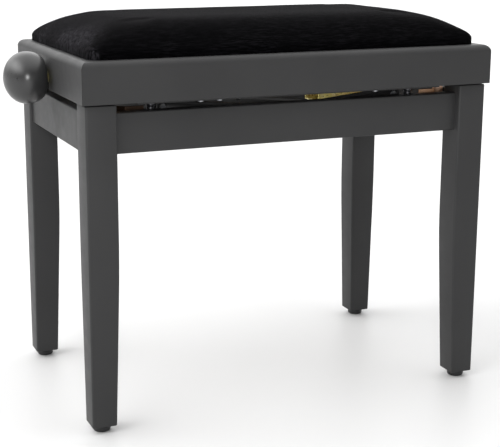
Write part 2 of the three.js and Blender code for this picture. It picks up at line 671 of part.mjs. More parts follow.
/** The arms that stand on the base's fixed pivot, with the slide rod at their upper ends. */
function addStandingArms(lift) {
  const holes = [[0, ROD_RADIUS + RUNNING_GAP], [armLength / 2, ROD_RADIUS + RUNNING_GAP],
    [armLength, ROD_RADIUS + RUNNING_GAP]];
  const pair = new THREE.Group();
  pair.position.set(pivotX, 0, lowerPivotZ);
  pair.rotation.y = -closedAngle;
  for (const side of SIDES) {
    const arm = part(`standing_arm_${side.name}`, armGeometry(holes), blackSteel());
    arm.position.y = side.y < 0 ? -outerArmY - ARM_THICKNESS : outerArmY;
    const pin = part(`middle_pin_${side.name}`, middlePinGeometry(), zinc());
    pin.position.x = armLength / 2;
    pin.rotation.z = side.y < 0 ? Math.PI : 0;
    pair.add(arm, pin);
  }
  const rodHalf = outerArmY + ARM_THICKNESS + 1;
  const rod = part('upper_slide_rod', bar('y', ROD_RADIUS, -rodHalf, rodHalf), zinc());
  rod.position.x = armLength;
  pair.add(rod);
  lift.add(pair);
}

/** The pin where a pair of arms crosses, along +Y, with its head outside. */
function middlePinGeometry() {
  const headStart = outerArmY + ARM_THICKNESS + TOUCH_GAP;
  const shank = bar('y', ROD_RADIUS, innerArmY - LAYER_GAP / 2, headStart + 1);
  const head = bar('y', PIN_HEAD_RADIUS, headStart, headStart + PIN_HEAD);
  return join(shank, head);
}

/** The arms that hang on the seat's fixed pivot, with the slide rod at their lower ends. */
function addHangingArms(lift) {
  const holes = [[0, ROD_RADIUS + RUNNING_GAP], [armLength / 2, ROD_RADIUS + LINK_GAP],
    [armLength, ROD_RADIUS + RUNNING_GAP]];
  const pair = new THREE.Group();
  pair.position.set(pivotX, 0, upperPivotZ);
  pair.rotation.y = closedAngle;
  for (const side of SIDES) {
    const arm = part(`hanging_arm_${side.name}`, armGeometry(holes), blackSteel());
    arm.position.y = side.y < 0 ? -innerArmY - ARM_THICKNESS : innerArmY;
    pair.add(arm);
  }
  const rod = part('lower_slide_rod', bar('y', ROD_RADIUS, -rodEndY, rodEndY), zinc());
  rod.position.x = armLength;
  pair.add(rod);
  lift.add(pair);
}

// ---- Nut carriage ----

/** The folded channel that joins the upper slide rod to the spindle's nut. */
function carriageGeometry() {
  const x1 = slideX + CARRIAGE_OVERHANG;
  const x0 = x1 - CARRIAGE_LENGTH;
  const z0 = upperPivotZ - CARRIAGE_BELOW_ROD;
  const z1 = spindleZ + CARRIAGE_ABOVE_SPINDLE;
  const corner = 10;
  const half = CARRIAGE_HALF_WIDTH;
  const body = alongY(outline([
    [x0, z0], [x1 - corner, z0], [x1, z0 + corner], [x1, upperPivotZ + corner],
    [x1 - 3 * corner, z1], [x0, z1],
  ]), -half, half);
  const hollow = block([x0 - 1, STEEL - half, z0 + STEEL], [x1 + 1, half - STEEL, z1 + 1]);
  const hole = bar('y', ROD_RADIUS + RUNNING_GAP, -half - 1, half + 1).translate(slideX, 0, upperPivotZ);
  return cut(body, hollow, hole);
}

/** The spindle's nut, a block between the carriage's cheeks. */
function nutGeometry() {
  const x0 = slideX + CARRIAGE_OVERHANG - CARRIAGE_LENGTH + 4;
  const half = CARRIAGE_HALF_WIDTH - STEEL - TOUCH_GAP;
  const x1 = x0 + NUT_LENGTH;
  const body = block([x0, -half, spindleZ - NUT_HEIGHT / 2], [x1, half, spindleZ + NUT_HEIGHT / 2]);
  const bore = bar('x', SPINDLE_RADIUS + LINK_GAP, x0 - 1, x1 + 1, 20).translate(0, 0, spindleZ);
  return cut(body, bore);
}

function addCarriage(lift) {
  lift.add(part('nut_carriage', carriageGeometry(), yellowZinc()));
  lift.add(part('spindle_nut', nutGeometry(), zinc()));
}

// ---- Spindle and knob ----

/** The ball knob as [radius, distance from its flat back] pairs, with its blind bore. */
function knobGeometry() {
  const steps = 5;
  const frontLength = KNOB_LENGTH - KNOB_BACK_LENGTH;
  const quarter = (i) => i / steps * Math.PI / 2;
  const back = Array.from({ length: steps + 1 }, (_, i) => [
    KNOB_BACK_RADIUS + (KNOB_RADIUS - KNOB_BACK_RADIUS) * Math.sin(quarter(i)),
    KNOB_BACK_LENGTH * (1 - Math.cos(quarter(i))),
  ]);
  const front = Array.from({ length: steps }, (_, i) => [
    i + 1 === steps ? 0 : KNOB_RADIUS * Math.cos(quarter(i + 1)),
    KNOB_BACK_LENGTH + frontLength * Math.sin(quarter(i + 1)),
  ]);
  const bore = SPINDLE_RADIUS + RUNNING_GAP;
  return turned([[0, KNOB_BORE_DEPTH], [bore, KNOB_BORE_DEPTH], [bore, 0], ...back, ...front], 32);
}

/** A ring on the spindle, drawn from z = 0 upwards. */
function ringGeometry(radius, length) {
  const bore = bar('z', SPINDLE_RADIUS + RUNNING_GAP, -1, length + 1, 20);
  return cut(bar('z', radius, 0, length, 20), bore);
}

function addSpindle(screw) {
  const axle = new THREE.Group();
  axle.position.z = spindleZ;
  axle.rotation.y = -Math.PI / 2; // its local +Z points along -X, towards the knob
  const spindleEnd = -knobBackX + KNOB_BORE_DEPTH - TOUCH_GAP;
  axle.add(part('spindle', bar('z', SPINDLE_RADIUS, -bearingX - SPINDLE_OVERRUN, spindleEnd, 20), zinc()));
  const knob = part('knob', knobGeometry(), knobLacquer());
  knob.position.z = -knobBackX;
  const washer = part('knob_washer', ringGeometry(washerRadius, WASHER_THICKNESS), yellowZinc());
  washer.position.z = seatHalfX + TOUCH_GAP;
  const innerCollar = part('collar_inner', ringGeometry(collarRadius, COLLAR_LENGTH), zinc());
  innerCollar.position.z = bearingX - TOUCH_GAP - COLLAR_LENGTH;
  const outerCollar = part('collar_outer', ringGeometry(collarRadius, COLLAR_LENGTH), zinc());
  outerCollar.position.z = bearingX + STEEL + TOUCH_GAP;
  axle.add(knob, washer, innerCollar, outerCollar);
  screw.add(axle);
}

// ---- The bench ----
const bench = new THREE.Group();
const base = new THREE.Group();
const seat = new THREE.Group();
const lift = new THREE.Group();
addLegs(base);
addAprons(base);
addCornerBrackets(base);
addLowerLift(base);
addSeatFrame(seat);
addSeatPad(seat);
addUpperLift(seat);
addSpindle(seat);
addStandingArms(lift);
addHangingArms(lift);
addCarriage(lift);
bench.add(base, seat, lift);
bench.position.x = (-knobBackX + KNOB_LENGTH - seatHalfX) / 2;

export default bench;
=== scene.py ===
"""The looks of a height-adjustable piano bench. Metres, +Z up, +X away from the knob."""
import math

import bmesh
import bpy
from mathutils import Matrix, Vector, noise


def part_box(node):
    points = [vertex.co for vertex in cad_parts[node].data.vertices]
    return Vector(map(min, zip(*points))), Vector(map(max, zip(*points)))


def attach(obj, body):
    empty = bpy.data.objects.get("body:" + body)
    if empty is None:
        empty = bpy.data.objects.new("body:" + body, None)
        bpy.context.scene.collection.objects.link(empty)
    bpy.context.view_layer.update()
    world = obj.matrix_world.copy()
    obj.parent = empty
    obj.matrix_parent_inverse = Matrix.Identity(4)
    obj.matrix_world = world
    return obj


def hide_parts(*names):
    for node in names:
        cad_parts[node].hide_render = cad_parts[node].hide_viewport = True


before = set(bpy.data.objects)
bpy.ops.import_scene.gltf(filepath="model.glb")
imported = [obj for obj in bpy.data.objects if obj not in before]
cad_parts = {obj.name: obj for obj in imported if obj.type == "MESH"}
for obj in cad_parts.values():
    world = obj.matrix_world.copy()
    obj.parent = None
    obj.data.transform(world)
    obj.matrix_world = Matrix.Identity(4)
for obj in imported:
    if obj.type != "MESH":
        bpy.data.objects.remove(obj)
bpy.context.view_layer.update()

MM = 0.001
CORNERS = {"front_left": (-1, -1), "front_right": (1, -1), "rear_right": (1, 1), "rear_left": (-1, 1)}
SIDES = {"front": -1, "rear": 1}
ENDS = {"left": -1, "right": 1}

# ---- Edges and clearances of the finer pieces ----
FINE_EDGE = 0.4 * MM
SHEET_EDGE = 0.35 * MM
SMOOTH_ANGLE = math.radians(38)

# ---- Seat frame ----
FRAME_ROUND = 8.5 * MM
FRAME_LOWER_EDGE = 0.9 * MM
MITRE_CUT = 0.18 * MM
NOTCH_CLEARANCE = 2 * MM

# ---- Legs, aprons, glides ----
LEG_TAPER = 6.5 * MM
LEG_TAPER_DROP = 150 * MM
LEG_TAPER_EASE = 0.3
LEG_EDGE = 2.5 * MM
LEG_END_EDGE = 1 * MM
APRON_EDGE = 1.5 * MM
GLIDE_STUD_RADIUS = 2.2 * MM
GLIDE_HEIGHT = 8 * MM
GLIDE_ROUND = 2.2 * MM
GLIDE_GROOVE = 0.5 * MM

# ---- Cushion ----
CUSHION_INSET = 13 * MM
CUSHION_LIFT = 0.12 * MM  # of the cover's hem above the seat frame
HEM_LIFT = 0.3 * MM  # of the cover's underside above the seat board
CUSHION_WALL = 9 * MM
CUSHION_CORNER = 15 * MM
CROWN_RUN = 140 * MM  # from the cushion's edge to where its crown is level
CROWN_FULLNESS = 6
CUSHION_SPACING = 5 * MM
CUSHION_START = 0.93  # share of the crown that the cover has before it is blown up
CUSHION_CAP = 1 * MM
HEM_THICKNESS = 1.7 * MM

HEM_FOLD = 0.35 * MM  # width of the fold that keeps the hem's edge crisp
TUCK_ANGLES = (32, 58)  # of the two tucks round each corner, in degrees
TUCK_WIDTH = 7  # in degrees
TUCK_DEPTH = 1.1 * MM
TUCK_HEIGHT = 16 * MM
FOAM_UNEVENNESS = 0.35 * MM

# ---- Knob ----
KNOB_BACK_RADIUS = 17 * MM
KNOB_BACK_LENGTH = 22 * MM
KNOB_BACK_EDGE = 1.2 * MM
KNOB_BORE_DEPTH = 24.8 * MM
KNOB_BORE_EDGE = 0.6 * MM

# ---- Screw threads ----
SPINDLE_PITCH = 3 * MM
SPINDLE_THREAD = 0.85 * MM
BOLT_PITCH = 1 * MM
BOLT_THREAD = 0.45 * MM
BOLT_THREAD_START = 22 * MM
THREAD_ROWS = 8  # rows of points in one turn of a thread
THREAD_FLANK = 3.2  # steepness of a groove's walls
NUT_TRAVEL = 26 * MM
THREAD_BEFORE_NUT = 14 * MM
THREAD_PAST_NUT = 16 * MM

# ---- Fasteners: head radius and height ----
FRAME_SCREW = (3.6 * MM, 2.4 * MM)
WOOD_SCREW = (4 * MM, 2.6 * MM)
RIVET = (3 * MM, 1.6 * MM)
GRUB_RADIUS = 2 * MM
GRUB_DEPTH = 1.5 * MM
FRAME_SCREWS_X = (-116 * MM, -93 * MM, 107 * MM)  # from the seat's middle
APRON_SCREWS_X = (-110 * MM, -40 * MM, 40 * MM, 100 * MM)
APRON_SCREW_RISE = 16 * MM
BRACKET_SCREW_SPREAD = 13 * MM
BRACKET_SCREW_INSET = 10 * MM
TIE_RIVET_INSET = 5 * MM
BEARING_RIVETS_X = 9 * MM
BEARING_RIVETS_Y = (8 * MM, 20 * MM)

# ---- Wing nuts ----
WING_HUB_RADIUS = 6 * MM
WING_HUB_LENGTH = 7 * MM
WING_TIP = 16 * MM
WING_HALF_SPAN = 15 * MM
WING_THICKNESS = 2.2 * MM
WING_SEAT = 9.3 * MM  # from the leg's inner corner

# ---- Lift ----
STEEL = 2.5 * MM
BRACKET_STEEL = 2 * MM
STANDING_HOLE_GAP = 0.2 * MM
HANGING_HOLE_GAP = 1.3 * MM
ARM_EYE_GAP = 0.2 * MM
ARM_RODS = {"standing": ("lower_pivot_rod", "upper_slide_rod"),
            "hanging": ("upper_pivot_rod", "lower_slide_rod")}
PIN_SHANK = 4 * MM
PIN_HEAD = 2 * MM
CLIP_GAP = 0.8 * MM


# ---------------------------------------------------------------- geometry

def span(*nodes):
    """The box round several CAD nodes."""
    boxes = [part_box(node) for node in nodes]
    low = Vector([min(box[0][i] for box in boxes) for i in range(3)])
    high = Vector([max(box[1][i] for box in boxes) for i in range(3)])
    return low, high


def middle(node):
    low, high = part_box(node)
    return (low + high) / 2


def round_radius(node):
    """The radius of a round CAD node that lies level."""
    low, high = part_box(node)
    return (high.z - low.z) / 2


def arc(centre, radius, start, end, steps):
    """Points on an arc, angles in degrees."""
    angles = [math.radians(start + (end - start) * i / steps) for i in range(steps + 1)]
    return [(centre[0] + radius * math.cos(a), centre[1] + radius * math.sin(a)) for a in angles]


def rounded_rectangle(x0, y0, x1, y1, radius, steps):
    """A rectangle's outline with round corners, anticlockwise."""
    r = radius
    corners = [((x1 - r, y1 - r), 0), ((x0 + r, y1 - r), 90),
               ((x0 + r, y0 + r), 180), ((x1 - r, y0 + r), 270)]
    return [point for centre, start in corners for point in arc(centre, r, start, start + 90, steps)]


def dome(radius, base, rise, steps):
    """Points from a dome's rim to just short of its pole."""
    angles = [math.pi / 2 * i / steps for i in range(steps)]
    return [(radius * math.cos(a), base + rise * math.sin(a)) for a in angles]


def piece_from(name, bm, place=None):
    """A new object from a bmesh, its normals outwards and its mesh already in place."""
    bmesh.ops.recalc_face_normals(bm, faces=bm.faces)
    mesh = bpy.data.meshes.new(name)
    bm.to_mesh(mesh)
    bm.free()
    if place is not None:
        mesh.transform(place)
    mesh.shade_smooth()
    mesh.set_sharp_from_angle(angle=SMOOTH_ANGLE)
    piece = bpy.data.objects.new(name, mesh)
    bpy.context.scene.collection.objects.link(piece)
    return piece


def loft(bm, rings):
    """Joins rings of equally many points into one closed skin with flat ends."""
    loops = [[bm.verts.new(point) for point in ring] for ring in rings]
    count = len(loops[0])
    for lower, upper in zip(loops, loops[1:]):
        for i in range(count):
            j = (i + 1) % count
            bm.faces.new((lower[i], lower[j], upper[j], upper[i]))
    bm.faces.new(loops[0][::-1])
    bm.faces.new(loops[-1])


def turn_profile(bm, profile, segments, place=None):
    """Turns (radius, height) points round Z. A radius of 0 is a pole; a profile without poles closes."""
    place = place or Matrix.Identity(4)
    rows = []
    for radius, height in profile:
        angles = [2 * math.pi * i / segments for i in range(segments)] if radius > 0 else [0]
        rows.append([bm.verts.new(place @ Vector((radius * math.cos(a), radius * math.sin(a), height)))
                     for a in angles])
    if profile[0][0] > 0:
        rows.append(rows[0])
    for lower, upper in zip(rows, rows[1:]):
        for i in range(segments):
            j = (i + 1) % segments
            corners = [lower[i % len(lower)], lower[j % len(lower)],
                       upper[j % len(upper)], upper[i % len(upper)]]
            bm.faces.new(list(dict.fromkeys(corners)))


def turned(name, profile, place, segments=48):
    bm = bmesh.new()
    turn_profile(bm, profile, segments, place)
    return piece_from(name, bm)


def pointing(axis, origin):
    """A placement that turns +Z to an axis."""
    turn = Vector((0, 0, 1)).rotation_difference(Vector(axis)).to_matrix().to_4x4()
    return Matrix.Translation(origin) @ turn


def bake(piece):
    """Applies a piece's modifiers to its mesh."""
    bpy.context.view_layer.update()
    evaluated = piece.evaluated_get(bpy.context.evaluated_depsgraph_get())
    mesh = bpy.data.meshes.new_from_object(evaluated)
    piece.modifiers.clear()
    piece.data = mesh
    return piece


def combine(piece, other, operation):
    """Cuts another object from a piece or joins it to it, and removes the other."""
    modifier = piece.modifiers.new("combine", "BOOLEAN")
    modifier.operation = operation
    modifier.solver = "EXACT"
    modifier.object = other
    bake(piece)
    bpy.data.objects.remove(other)
    return piece


def soften_modifiers(piece, width, segments=2, angle=35):
    bevel = piece.modifiers.new("edges", "BEVEL")
    bevel.width = width
    bevel.segments = segments
    bevel.limit_method = "ANGLE"
    bevel.angle_limit = math.radians(angle)
    bevel.use_clamp_overlap = True
    weighted = piece.modifiers.new("normals", "WEIGHTED_NORMAL")
    weighted.mode = "FACE_AREA"
    weighted.weight = 60


def soften(piece, width=FINE_EDGE, segments=2, angle=35):
    """Rounds a piece's sharp edges."""
    piece.data.shade_smooth()
    soften_modifiers(piece, width, segments, angle)
    return bake(piece)


def refine_node(node, width):
    """A CAD node keeps its mesh, and gets round edges and smooth curved walls from modifiers."""
    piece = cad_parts[node]
    piece.data.polygons.foreach_set("use_smooth", [True] * len(piece.data.polygons))
    weld = piece.modifiers.new("weld", "WELD")
    weld.merge_threshold = 0.01 * MM
    flat = piece.modifiers.new("flat", "DECIMATE")
    flat.decimate_type = "DISSOLVE"
    flat.angle_limit = math.radians(0.5)
    soften_modifiers(piece, width)
    return piece


def plate(name, outline, holes, thickness, place, edge=SHEET_EDGE):
    """A flat plate with round edges, drawn in (x, y) and centred on z = 0, with round or shaped holes."""
    curve = bpy.data.curves.new(name, "CURVE")
    curve.dimensions = "2D"
    curve.fill_mode = "BOTH"
    curve.extrude = thickness / 2 - edge
    curve.bevel_depth = edge
    curve.bevel_resolution = 1
    curve.offset = -edge
    for loop in [outline, *holes]:
        spline = curve.splines.new("POLY")
        spline.points.add(len(loop) - 1)
        for point, (x, y) in zip(spline.points, loop):
            point.co = (x, y, 0, 1)
        spline.use_cyclic_u = True
    holder = bpy.data.objects.new(name, curve)
    bpy.context.scene.collection.objects.link(holder)
    bpy.context.view_layer.update()
    mesh = bpy.data.meshes.new_from_object(holder.evaluated_get(bpy.context.evaluated_depsgraph_get()))
    bpy.data.objects.remove(holder)
    bm = bmesh.new()
    bm.from_mesh(mesh)
    bpy.data.meshes.remove(mesh)
    bmesh.ops.remove_doubles(bm, verts=bm.verts, dist=0.001 * MM)
    return piece_from(name, bm, place)


def circle(centre, radius, steps=32):
    return arc(centre, radius, 0, 360 * (steps - 1) / steps, steps - 1)


def thread_rows(radius, depth, pitch, start, end, segments):
    """Rows of points on a screw thread along Z, from one height to the other."""
    rows = []
    steps = max(2, round((end - start) / pitch * THREAD_ROWS))
    for k in range(steps + 1):
        z = start + (end - start) * k / steps
        fade = min(1, (z - start) / pitch, (end - z) / pitch)
        row = []
        for i in range(segments):
            phase = (z / pitch - i / segments) % 1
            groove = 1 - min(1, abs(phase - 0.5) * THREAD_FLANK)
            r = radius - depth * max(0, groove) * max(0, fade)
            angle = 2 * math.pi * i / segments
            row.append((r * math.cos(angle), r * math.sin(angle), z))
        rows.append(row)
    return rows


def ring_row(radius, z, segments):
    angles = [2 * math.pi * i / segments for i in range(segments)]
    return [(radius * math.cos(a), radius * math.sin(a), z) for a in angles]


def threaded_bar(name, radius, length, thread, place, segments=32, chamfer=0.6 * MM):
    """A round bar along Z with chamfered ends and a thread between two heights."""
    start, end, depth, pitch = thread
    rows = [ring_row(radius - chamfer, 0, segments), ring_row(radius, chamfer, segments)]
    first, last = max(start, 2 * chamfer), min(end, length - 2 * chamfer)
    rows += thread_rows(radius, depth, pitch, first, last, segments)
    rows += [ring_row(radius, length - chamfer, segments), ring_row(radius - chamfer, length, segments)]
    bm = bmesh.new()
    loft(bm, rows)
    return piece_from(name, bm, place)


def join_shells(name, places, add_shell):
    """One object of many copies of a small shell; add_shell(bm, place) draws one."""
    bm = bmesh.new()
    for place in places:
        add_shell(bm, place)
    return piece_from(name, bm)


# ---------------------------------------------------------------- materials

class Nodes:
    """A node tree, with short calls to add and link nodes."""

    def __init__(self, tree):
        self.tree = tree

    def node(self, kind, **settings):
        node = self.tree.nodes.new(kind)
        for key, value in settings.items():
            setattr(node, key, value)
        return node

    def link(self, source, target):
        self.tree.links.new(source, target)

    def span(self, source, low, high, start=0.0, end=1.0, interpolation="LINEAR"):
        """Maps a value from start..end to low..high."""
        mapped = self.node("ShaderNodeMapRange", interpolation_type=interpolation)
        for socket, value in (("From Min", start), ("From Max", end), ("To Min", low), ("To Max", high)):
            mapped.inputs[socket].default_value = value
        self.link(source, mapped.inputs["Value"])
        return mapped.outputs["Result"]

    def math(self, operation, a, b):
        node = self.node("ShaderNodeMath", operation=operation)
        for socket, value in zip(node.inputs, (a, b)):
            if isinstance(value, (int, float)):
                socket.default_value = value
            else:
                self.link(value, socket)
        return node.outputs["Value"]


class Shader(Nodes):
    """A material's node tree, with short calls for what its surface is given."""

    def __init__(self, name):
        self.material = bpy.data.materials.new(name)
        self.material.use_nodes = True
        super().__init__(self.material.node_tree)
        self.surface = next(n for n in self.tree.nodes if n.type == "BSDF_PRINCIPLED")
        self.place = self.tree.nodes.new("ShaderNodeTexCoord").outputs["Object"]

    def set(self, **values):
        for key, value in values.items():
            self.surface.inputs[key.replace("_", " ")].default_value = value

    def stretched(self, scale):
        mapping = self.node("ShaderNodeMapping")
        mapping.inputs["Scale"].default_value = scale
        self.link(self.place, mapping.inputs["Vector"])
        return mapping.outputs["Vector"]

    def noise(self, scale, detail=3.0, roughness=0.55, stretch=(1, 1, 1), distortion=0.0):
        texture = self.node("ShaderNodeTexNoise")
        texture.inputs["Scale"].default_value = scale
        texture.inputs["Detail"].default_value = detail
        texture.inputs["Roughness"].default_value = roughness
        texture.inputs["Distortion"].default_value = distortion
        self.link(self.stretched(stretch), texture.inputs["Vector"])
        return texture.outputs["Fac"]

    def ramp(self, source, stops):
        ramp = self.node("ShaderNodeValToRGB")
        elements = ramp.color_ramp.elements
        while len(elements) < len(stops):
            elements.new(0.5)
        for element, (position, color) in zip(elements, stops):
            element.position = position
            element.color = (*color, 1) if len(color) == 3 else color
        self.link(source, ramp.inputs["Fac"])
        return ramp.outputs["Color"]

    def mix(self, factor, a, b):
        node = self.node("ShaderNodeMix", data_type="RGBA")
        for socket, value in ((node.inputs[0], factor), (node.inputs[6], a), (node.inputs[7], b)):
            if isinstance(value, (int, float)):
                socket.default_value = value
            elif isinstance(value, tuple):
                socket.default_value = (*value, 1)
            else:
                self.link(value, socket)
        return node.outputs[2]

    def bump(self, layers):
        """Bumps the surface by (height, distance in metres) layers."""
        normal = None
        for height, distance in layers:
            bump = self.node("ShaderNodeBump")
            bump.inputs["Strength"].default_value = 1
            bump.inputs["Distance"].default_value = distance
            self.link(height, bump.inputs["Height"])
            if normal is not None:
                self.link(normal, bump.inputs["Normal"])
            normal = bump.outputs["Normal"]
        self.link(normal, self.surface.inputs["Normal"])

    def color(self, source):
        self.link(source, self.surface.inputs["Base Color"])

    def roughness(self, source):
        self.link(source, self.surface.inputs["Roughness"])


BRIGHT_ZINC = [(0.3, (0.30, 0.31, 0.34)), (0.55, (0.42, 0.43, 0.45)), (0.75, (0.47, 0.46, 0.42))]
DARK_ZINC = [(0.3, (0.10, 0.10, 0.11)), (0.7, (0.16, 0.16, 0.17))]
YELLOW_ZINC = [(0.25, (0.58, 0.60, 0.16)), (0.45, (0.86, 0.74, 0.26)), (0.62, (0.95, 0.88, 0.50)),
               (0.80, (0.80, 0.52, 0.26))]
LACQUER_DARK = (0.0330, 0.0330, 0.0335)
LACQUER_LIGHT = (0.0380, 0.0380, 0.0384)


def lacquer(name, grain, gloss=0.46, relief=1.0, depth=1.0, shine=0.17):
    """Satin anthracite lacquer over wood: faint orange peel, the grain just telling through."""
    s = Shader(name)
    clouds = s.noise(9, 4)
    dark, light = (tuple(depth * value for value in color) for color in (LACQUER_DARK, LACQUER_LIGHT))
    s.color(s.ramp(clouds, [(0.3, dark), (0.7, light)]))
    s.roughness(s.span(s.noise(60, 5), gloss - 0.035, gloss + 0.045, 0.3, 0.7))
    s.set(Specular_IOR_Level=shine)
    peel = s.noise(650, 2)
    grain_lines = s.noise(220, 4, 0.6, grain)
    s.bump([(grain_lines, 0.018 * MM * relief), (peel, 0.012 * MM * relief)])
    return s.material


def velvet():
    """Black velvet: a dark pile with painted sheen along its streaks, painted brighter on faces turned to
    the left, where the light falls.
    """
    s = Shader("black_velvet")
    facing = s.node("ShaderNodeSeparateXYZ")
    s.link(s.node("ShaderNodeTexCoord").outputs["Normal"], facing.inputs[0])
    on_ends = s.span(s.math("ABSOLUTE", facing.outputs["X"], 0), 0, 1, 0.15, 0.45)
    along_end = s.noise(300, 4, 0.75, (1.1, 2.2, 0.35))
    along_front = s.noise(300, 4, 0.75, (0.25, 1.4, 2.2))
    streaks = s.mix(on_ends, along_front, along_end)
    patches = s.noise(14, 4, 0.6)
    # Painted sheen: streaks and patches get a lighter colour that stands in for light caught by the pile.
    sheen_mask = s.math("MULTIPLY", s.span(streaks, 0, 1, 0.47, 0.62), s.span(patches, 0.3, 1.0, 0.38, 0.60))
    # Painted light: faces turned towards the left, where the light falls, get brighter streaks.
    left_light = s.span(facing.outputs["X"], 1, 0, -0.62, -0.2)
    sheen_color = s.mix(left_light, (0.0044, 0.0041, 0.0050), (0.038, 0.036, 0.041))
    s.color(s.mix(sheen_mask, (0.0006, 0.0006, 0.0008), sheen_color))
    s.set(Roughness=0.95, Specular_IOR_Level=0.024, Sheen_Weight=0.016, Sheen_Roughness=0.24,
          Sheen_Tint=(0.86, 0.83, 0.92, 1))
    pile = s.noise(1500, 2)
    s.bump([(streaks, 0.22 * MM), (pile, 0.14 * MM)])
    return s.material


def plywood():
    """Raw plywood: a pale veneer grain with darker fibres."""
    s = Shader("raw_plywood")
    grain = s.noise(60, 6, 0.65, (0.12, 1.6, 1), 0.6)
    veneer = s.ramp(grain, [(0.25, (0.36, 0.21, 0.10)), (0.5, (0.52, 0.33, 0.17)),
                            (0.75, (0.62, 0.43, 0.25))])
    fibres = s.noise(900, 3, 0.6, (0.05, 1, 1))
    s.color(s.mix(s.span(fibres, 0, 0.35, 0.4, 0.7), veneer, (0.30, 0.17, 0.08)))
    s.roughness(s.span(grain, 0.72, 0.88))
    s.bump([(fibres, 0.08 * MM)])
    return s.material


def black_steel():
    """Black painted sheet steel, a little dusty and rubbed."""
    s = Shader("black_painted_steel")
    clouds = s.noise(38, 5, 0.6)
    rubbed = s.span(s.noise(240, 4, 0.7), 0, 1, 0.66, 0.78)
    s.color(s.mix(rubbed, s.ramp(clouds, [(0.3, (0.006, 0.006, 0.0065)), (0.7, (0.012, 0.012, 0.0125))]),
                  (0.05, 0.05, 0.052)))
    s.roughness(s.span(clouds, 0.36, 0.55, 0.3, 0.7))
    s.bump([(s.noise(900, 2), 0.02 * MM)])
    return s.material


def plated(name, stops, gloss, cloud_scale=70, metallic=1.0):
    """A plated steel whose passivation colours drift across it."""
    s = Shader(name)
    clouds = s.noise(cloud_scale, 4, 0.6, (1, 1, 1), 0.8)
    s.color(s.ramp(clouds, stops))
    s.set(Metallic=metallic)
    s.roughness(s.span(s.noise(300, 4), gloss - 0.06, gloss + 0.1, 0.3, 0.7))
    s.bump([(s.noise(1200, 2), 0.012 * MM)])
    return s.material


def copper_zinc():
    """Copper-coloured plating, darkened by painted shade at the knob's end and plain copper at the other.
    """
    s = Shader("copper_zinc")
    clouds = s.noise(70, 4, 0.6, (1, 1, 1), 0.8)
    plain_copper = s.ramp(clouds, [(0.3, (0.62, 0.33, 0.18)), (0.6, (0.80, 0.50, 0.32))])
    # Painted shade: a dark brown that stands in for the shade on the brackets at the knob's end.
    painted_shade_copper = s.ramp(clouds, [(0.3, (0.030, 0.018, 0.012)), (0.6, (0.055, 0.032, 0.020))])
    along = s.node("ShaderNodeSeparateXYZ")
    s.link(s.place, along.inputs[0])
    s.color(s.mix(s.span(along.outputs["X"], 0, 1, -0.1, 0.15), painted_shade_copper, plain_copper))
    s.set(Metallic=0.85)
    s.roughness(s.span(s.noise(300, 4), 0.36, 0.5, 0.3, 0.7))
    return s.material


def glide_plastic():
    """Black moulded plastic with a fine sparked texture and scuffs near the floor."""
    s = Shader("black_glide_plastic")
    scuff = s.span(s.noise(500, 4, 0.7, (1, 1, 3)), 0, 1, 0.55, 0.75)
    s.color(s.mix(scuff, (0.006, 0.006, 0.0065), (0.028, 0.028, 0.028)))
    s.roughness(s.span(scuff, 0.42, 0.62))
    s.bump([(s.noise(1800, 2), 0.03 * MM)])
    return s.material


def make_materials():
    grain_x, grain_y, grain_z = (0.03, 1, 1), (1, 0.03, 1), (1, 1, 0.03)
    return {
        "lacquer_x": lacquer("anthracite_lacquer_long", grain_x),
        "lacquer_y": lacquer("anthracite_lacquer_cross", grain_y),
        "lacquer_z": lacquer("anthracite_lacquer_upright", grain_z, relief=1.8),
        "knob": lacquer("anthracite_lacquer_knob", grain_x, gloss=0.30, relief=0.2, depth=0.7, shine=0.6),
        "velvet": velvet(),
        "plywood": plywood(),
        "black_steel": black_steel(),
        "zinc": plated("bright_zinc", BRIGHT_ZINC, 0.32),
        "dark_zinc": plated("dark_zinc", DARK_ZINC, 0.34),
        "yellow_zinc": plated("yellow_zinc", YELLOW_ZINC, 0.28, 22, 0.6),
        "copper_zinc": copper_zinc(),
        "plastic": glide_plastic(),
    }


def dress(piece, material, body, slot, *nodes):
    """Gives a new piece its material and its body, and hides the CAD nodes that it stands for; the slot is
    not used.
    """
    piece.data.materials.clear()
    piece.data.materials.append(material)
    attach(piece, body)
    if nodes:
        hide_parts(*nodes)
    return piece


def dress_node(node, material):
    """A CAD node that stays gets a better material."""
    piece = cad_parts[node]
    piece.data.materials.clear()
    piece.data.materials.append(material)


# ---------------------------------------------------------------- seat frame

SEAT_LOW, SEAT_HIGH = span("seat_rail_front", "seat_rail_rear", "seat_rail_left", "seat_rail_right")
SEAT_MIDDLE = (SEAT_LOW + SEAT_HIGH) / 2
RAIL_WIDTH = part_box("seat_rail_front")[1].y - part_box("seat_rail_front")[0].y
SPINDLE_Z = middle("spindle").z
SPINDLE_RADIUS = round_radius("spindle")


def frame_section():
    """A seat rail's section as (distance inwards, height) points."""
    height = SEAT_HIGH.z - SEAT_LOW.z
    low, top, inner = FRAME_LOWER_EDGE, FRAME_ROUND, FINE_EDGE
    return [
        *arc((RAIL_WIDTH - inner, inner), inner, 270, 360, 2),
        *arc((RAIL_WIDTH - inner, height - inner), inner, 0, 90, 2),
        *arc((top, height - top), top, 90, 180, 16),
        *arc((low, low), low, 180, 270, 3),
    ]


def mitred_rail(name, length, turn, origin):
    """A rail whose outer face is on y = 0, mitred at both ends, turned and moved to its place."""
    bm = bmesh.new()
    half = length / 2 - MITRE_CUT
    section = frame_section()
    loft(bm, [[(end * (half - u), u, z) for u, z in section] for end in (-1, 1)])
    place = Matrix.Translation(origin) @ Matrix.Rotation(turn, 4, "Z")
    return piece_from(name, bm, place)


